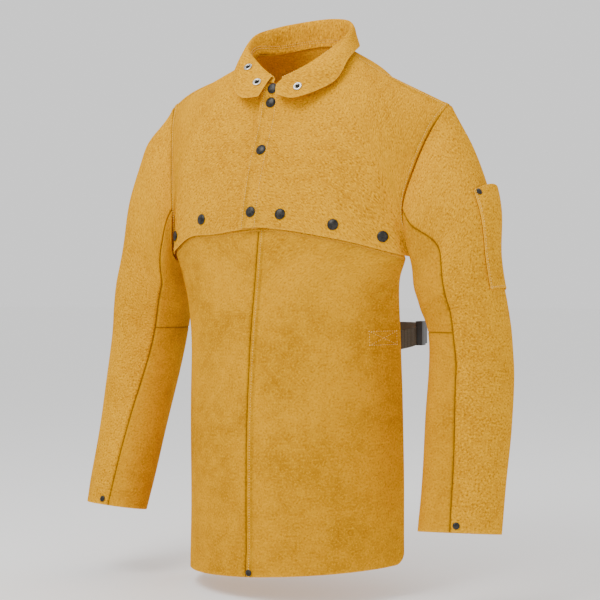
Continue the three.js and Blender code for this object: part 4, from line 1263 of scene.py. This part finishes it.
def set_on(name, places, ways, shape, finish):
    """Copies of a turned shape on these places, as one piece."""
    return grown(name, places, [], {"out": ways}, hardware_tree, {"Shape": shape, "Finish": finish})


# %% Set them in the leather
caps_hem = set_on("hem_snap_caps", snap_places[:5], snap_normals[:5], cap_shape, lacquered)
caps_front = set_on("front_snap_caps", snap_places[5:9], snap_normals[5:9], cap_shape, lacquered)
stud_nickel_and_well_shade = plain("nickel_plate_stud_face_and_well_shade", "#B4B1A8", "#E2DFD6", 0.003, 1.0, 0.24, 0.08)
well_tree = stud_nickel_and_well_shade.node_tree
well_shader = well_tree.nodes["Principled BSDF"]
# painted shade: the nickel goes nearly black in the stud's hollow middle, where the hole lies in shade
in_well_shade = node(well_tree, "ShaderNodeAttribute", attribute_name="well_shade_mask").outputs["Fac"]
bright = well_shader.inputs["Base Color"].links[0].from_socket
well_shade_mix = node(well_tree, "ShaderNodeMix", data_type="RGBA")
well_tree.links.new(in_well_shade, well_shade_mix.inputs[0])
well_tree.links.new(bright, well_shade_mix.inputs[6])
well_shade_mix.inputs[7].default_value = linear("#17150F")
well_tree.links.new(well_shade_mix.outputs[2], well_shader.inputs["Base Color"])
stud_faces = set_on("collar_stud_faces", snap_places[9:], snap_normals[9:], stud_shape, stud_nickel_and_well_shade)
short_rivet = rivet_shape(LEATHER)
rivet_bib = set_on("bib_rivet", rivet_places[:1], rivet_normals[:1], short_rivet, lacquered)
rivet_left = set_on("cuff_rivet_left", rivet_places[1:2], rivet_normals[1:2], short_rivet, lacquered)
rivet_right = set_on("cuff_rivet_right", rivet_places[2:3], rivet_normals[2:3], short_rivet, lacquered)
deep_rivet = rivet_shape(float(mouth(POCKET[1] - 0.16, POCKET_TOP + 0.06)) + 2 * LEATHER)
rivet_pocket = set_on("pocket_rivet", rivet_places[3:], rivet_normals[3:], deep_rivet, lacquered)
for pattern in (cap_shape, stud_shape, short_rivet, deep_rivet):
    bpy.data.objects.remove(pattern)

# %% [markdown]
# ## Waist strap and buckle
# The strap is flat 25 mm webbing. It is a ribbon swept along a path round the waist, with a thicker
# selvedge at both edges. The buckle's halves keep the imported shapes, with their edges broken as a mould
# breaks them.


# %% The strap's paths
STRAP_Z, STRAP_WIDE, STRAP_THICK, LEFT_END = -402.0, 25.0, 1.6, 90.4


def strap_path(side, angles):
    """Points from the patch on the bib, along its inner face, then round the waist on an oval."""
    v = (STRAP_Z + 256) / -458  # the bib starts at z -256 and is 458 long
    on_bib = [bib(side * u, v) + normal(bib, side * u, v) * (LEATHER + 1.5) for u in (0.72, 0.8, 0.88, 0.985)]
    for p in on_bib:
        p[2] = STRAP_Z
    for phi in angles:
        a, b = 169.1, 128 if abs(phi) > 90 else 149.1
        z = STRAP_Z + 10 * smooth(abs(phi), 70, 110)
        on_bib.append(np.array([side * a * np.sin(phi * DEGREE), -b * np.cos(phi * DEGREE), z]))
    return np.array(on_bib)


def strap(name, side, angles):
    """Webbing along the path, its outer face on it."""
    path = strap_path(side, angles)
    knots = np.concatenate([[0], np.cumsum(np.linalg.norm(np.diff(path, axis=0), axis=1) ** 0.9)])
    fine = np.linspace(0, knots[-1], int(knots[-1] / 1.6))
    line = weights(knots, fine) @ path
    way = np.gradient(line, axis=0)
    inward = np.stack([-way[:, 1], way[:, 0], 0 * way[:, 0]], -1) * side
    inward /= np.linalg.norm(inward, axis=1, keepdims=True)
    half = STRAP_WIDE / 2
    outline = []  # (height, depth) round the webbing's section, thicker at its selvedges
    for w in (-1, -0.985, -0.93, -0.86, -0.5, 0, 0.5, 0.86, 0.93, 0.985, 1):
        outline.append((w * half, 0.25 if abs(w) == 1 else 0.0 if abs(w) > 0.9 else 0.14))
    outline += [(w, STRAP_THICK - d) for w, d in outline[::-1]]
    wobble = 0.05 * np.sin(np.arange(len(fine)) * np.pi)  # each pick of weft stands a little proud
    points = [line + inward * (d + wobble)[:, None] + (0, 0, w) for w, d in outline]
    points = np.stack(points, 1)
    rows, columns = points.shape[:2]
    index = np.arange(rows * columns).reshape(rows, columns)
    after = np.roll(index, -1, 1)
    faces = np.stack([index[:-1], index[1:], after[1:], after[:-1]], -1).reshape(-1, 4).tolist()
    faces += [index[0].tolist(), index[-1, ::-1].tolist()]
    mesh = bpy.data.meshes.new(name)
    mesh.from_pydata(points.reshape(-1, 3) * MM, [], faces)
    gone = np.concatenate([[0], np.cumsum(np.linalg.norm(np.diff(line, axis=0), axis=1))]) * MM
    uv = np.stack([np.repeat(gone, columns), np.tile([w * MM for w, _ in outline], rows)], -1)
    layer = mesh.uv_layers.new(name="cut")
    layer.data.foreach_set("uv", uv[[loop.vertex_index for loop in mesh.loops]].astype(np.float32).ravel())
    work = bmesh.new()
    work.from_mesh(mesh)
    bmesh.ops.recalc_face_normals(work, faces=work.faces)
    work.to_mesh(mesh)
    work.free()
    mesh.shade_smooth()
    mesh.set_sharp_from_angle(angle=0.9)
    mesh.materials.append(webbing_material)
    made = bpy.data.objects.new(name, mesh)
    bpy.context.collection.objects.link(made)
    print(name, round(float(gone[-1]) * 1000), "mm long")
    return made


strap_left = strap("waist_strap_left_webbing", 1, [86, LEFT_END])
RIGHT_END = 360 - (LEFT_END + 10.6) - 19.8
strap_right = strap("waist_strap_right_webbing", -1, np.linspace(84, RIGHT_END, 17))


# %% The buckle
def broken_edges(name, cad_name, width):
    """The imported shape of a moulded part, as a merged mesh with its edges broken."""
    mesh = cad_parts[cad_name].data.copy()
    mesh.name = name
    mesh.materials.clear()
    work = bmesh.new()
    work.from_mesh(mesh)
    bmesh.ops.remove_doubles(work, verts=work.verts, dist=0.00001)
    bmesh.ops.dissolve_limit(work, angle_limit=0.02, verts=work.verts, edges=work.edges)
    sharp = [e for e in work.edges if len(e.link_faces) == 2 and e.calc_face_angle(0) > 0.5]
    bmesh.ops.bevel(work, geom=sharp, offset=width * MM, segments=2, affect="EDGES", profile=0.6, clamp_overlap=True)
    bmesh.ops.triangulate(work, faces=work.faces)
    work.to_mesh(mesh)
    work.free()
    mesh.shade_smooth()
    mesh.set_sharp_from_angle(angle=0.6)
    mesh.materials.append(acetal)
    made = bpy.data.objects.new(name, mesh)
    bpy.context.collection.objects.link(made)
    return made


buckle_halves = [broken_edges(f"{n}_moulded", n, 0.7) for n in ("buckle_socket", "buckle_plug")]
print("buckle halves:", [len(h.data.polygons) for h in buckle_halves], "faces")

# %% [markdown]
# ## What moves with what
# The bodice and collar ride on the cape. The pieces that cross a joint, the cape's sides, the sleeves'
# lengths, the pocket, the bib and their stitches, have their placing baked into their points, and the
# imported parts that they stand for are hidden.

# %% Baking the pieces across the joints
at_shoulder = [(cape_left, "left"), (back_left, "left"), (pocket, "left"), (cape_right, "right"), (back_right, "right")]
for piece, side in at_shoulder:
    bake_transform(piece)
for (kind, part, side), piece in sleeve_pieces.items():
    if part == "top":
        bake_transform(piece)
        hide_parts(f"sleeve_{kind}_cap_{side}")
    else:
        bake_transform(piece)
        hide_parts(f"sleeve_{kind}_upper_{side}", f"sleeve_{kind}_lower_{side}")
for piece in (bib_left, bib_right):
    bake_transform(piece)
for side, piece in cape_stitches.items():
    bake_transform(piece)
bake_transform(pocket_stitches)
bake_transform(bib_stitches)
print("blended", len(sleeve_pieces) + 11, "pieces")

# %% Whole pieces, and what each stands for
riding = {
    "cape": [collar_piece, bib_band, caps_hem, caps_front, stud_faces],
    "bib": [rivet_bib, strap_left, strap_right, *buckle_halves],
    "sleeve_lower_left": [rivet_left],
    "sleeve_lower_right": [rivet_right],
    "sleeve_upper_left": [rivet_pocket],
}
for body, some in riding.items():
    for piece in some:
        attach(piece, body)
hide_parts("cape_front_left")
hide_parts("cape_front_right")
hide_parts("cape_back")
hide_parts("cape_back")
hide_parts("collar_stand", "collar_fall")
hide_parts("sleeve_pocket")
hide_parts("bib_panel_left")
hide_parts("bib_panel_right")
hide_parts("bib_band")
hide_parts(*(f"hem_snap_{i}_cap" for i in range(1, 6)))
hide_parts("neck_snap_cap", *(f"front_snap_{i}_cap" for i in range(1, 4)))
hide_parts(*(f"collar_snap_{i}" for i in range(1, 4)))
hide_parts("rivet_bib_hem")
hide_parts("rivet_cuff_left")
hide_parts("rivet_cuff_right")
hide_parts("rivet_pocket")
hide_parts("waist_strap_left")
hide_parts("waist_strap_right")
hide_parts("buckle_socket")
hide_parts("buckle_plug")
kept = [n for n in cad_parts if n.endswith(("_socket", "_stud")) and "snap" in n]
for name in kept:
    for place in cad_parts[name].material_slots:
        place.material = nickel
print(len(kept), "snap sockets and studs keep their packed shapes")

# %% [markdown]
# ## The cut sizes
# Each panel's size as it was cut is printed. Width is across the panel at its widest and length down
# it; the area is smaller where the cut isn't square. An area under 0.3 of its rectangle can't be
# declared, so one narrow wedge is given at that limit, a little larger than it measures.

for name, (flat, area) in SIZES.items():
    flat = tuple(round(x + 0.004, 2) for x in flat)
    area = min(max(area, 0.301 * flat[0] * flat[1]), flat[0] * flat[1])
    print(f"{name}: {flat[0] * 1000:.0f} x {flat[1] * 1000:.0f} mm")
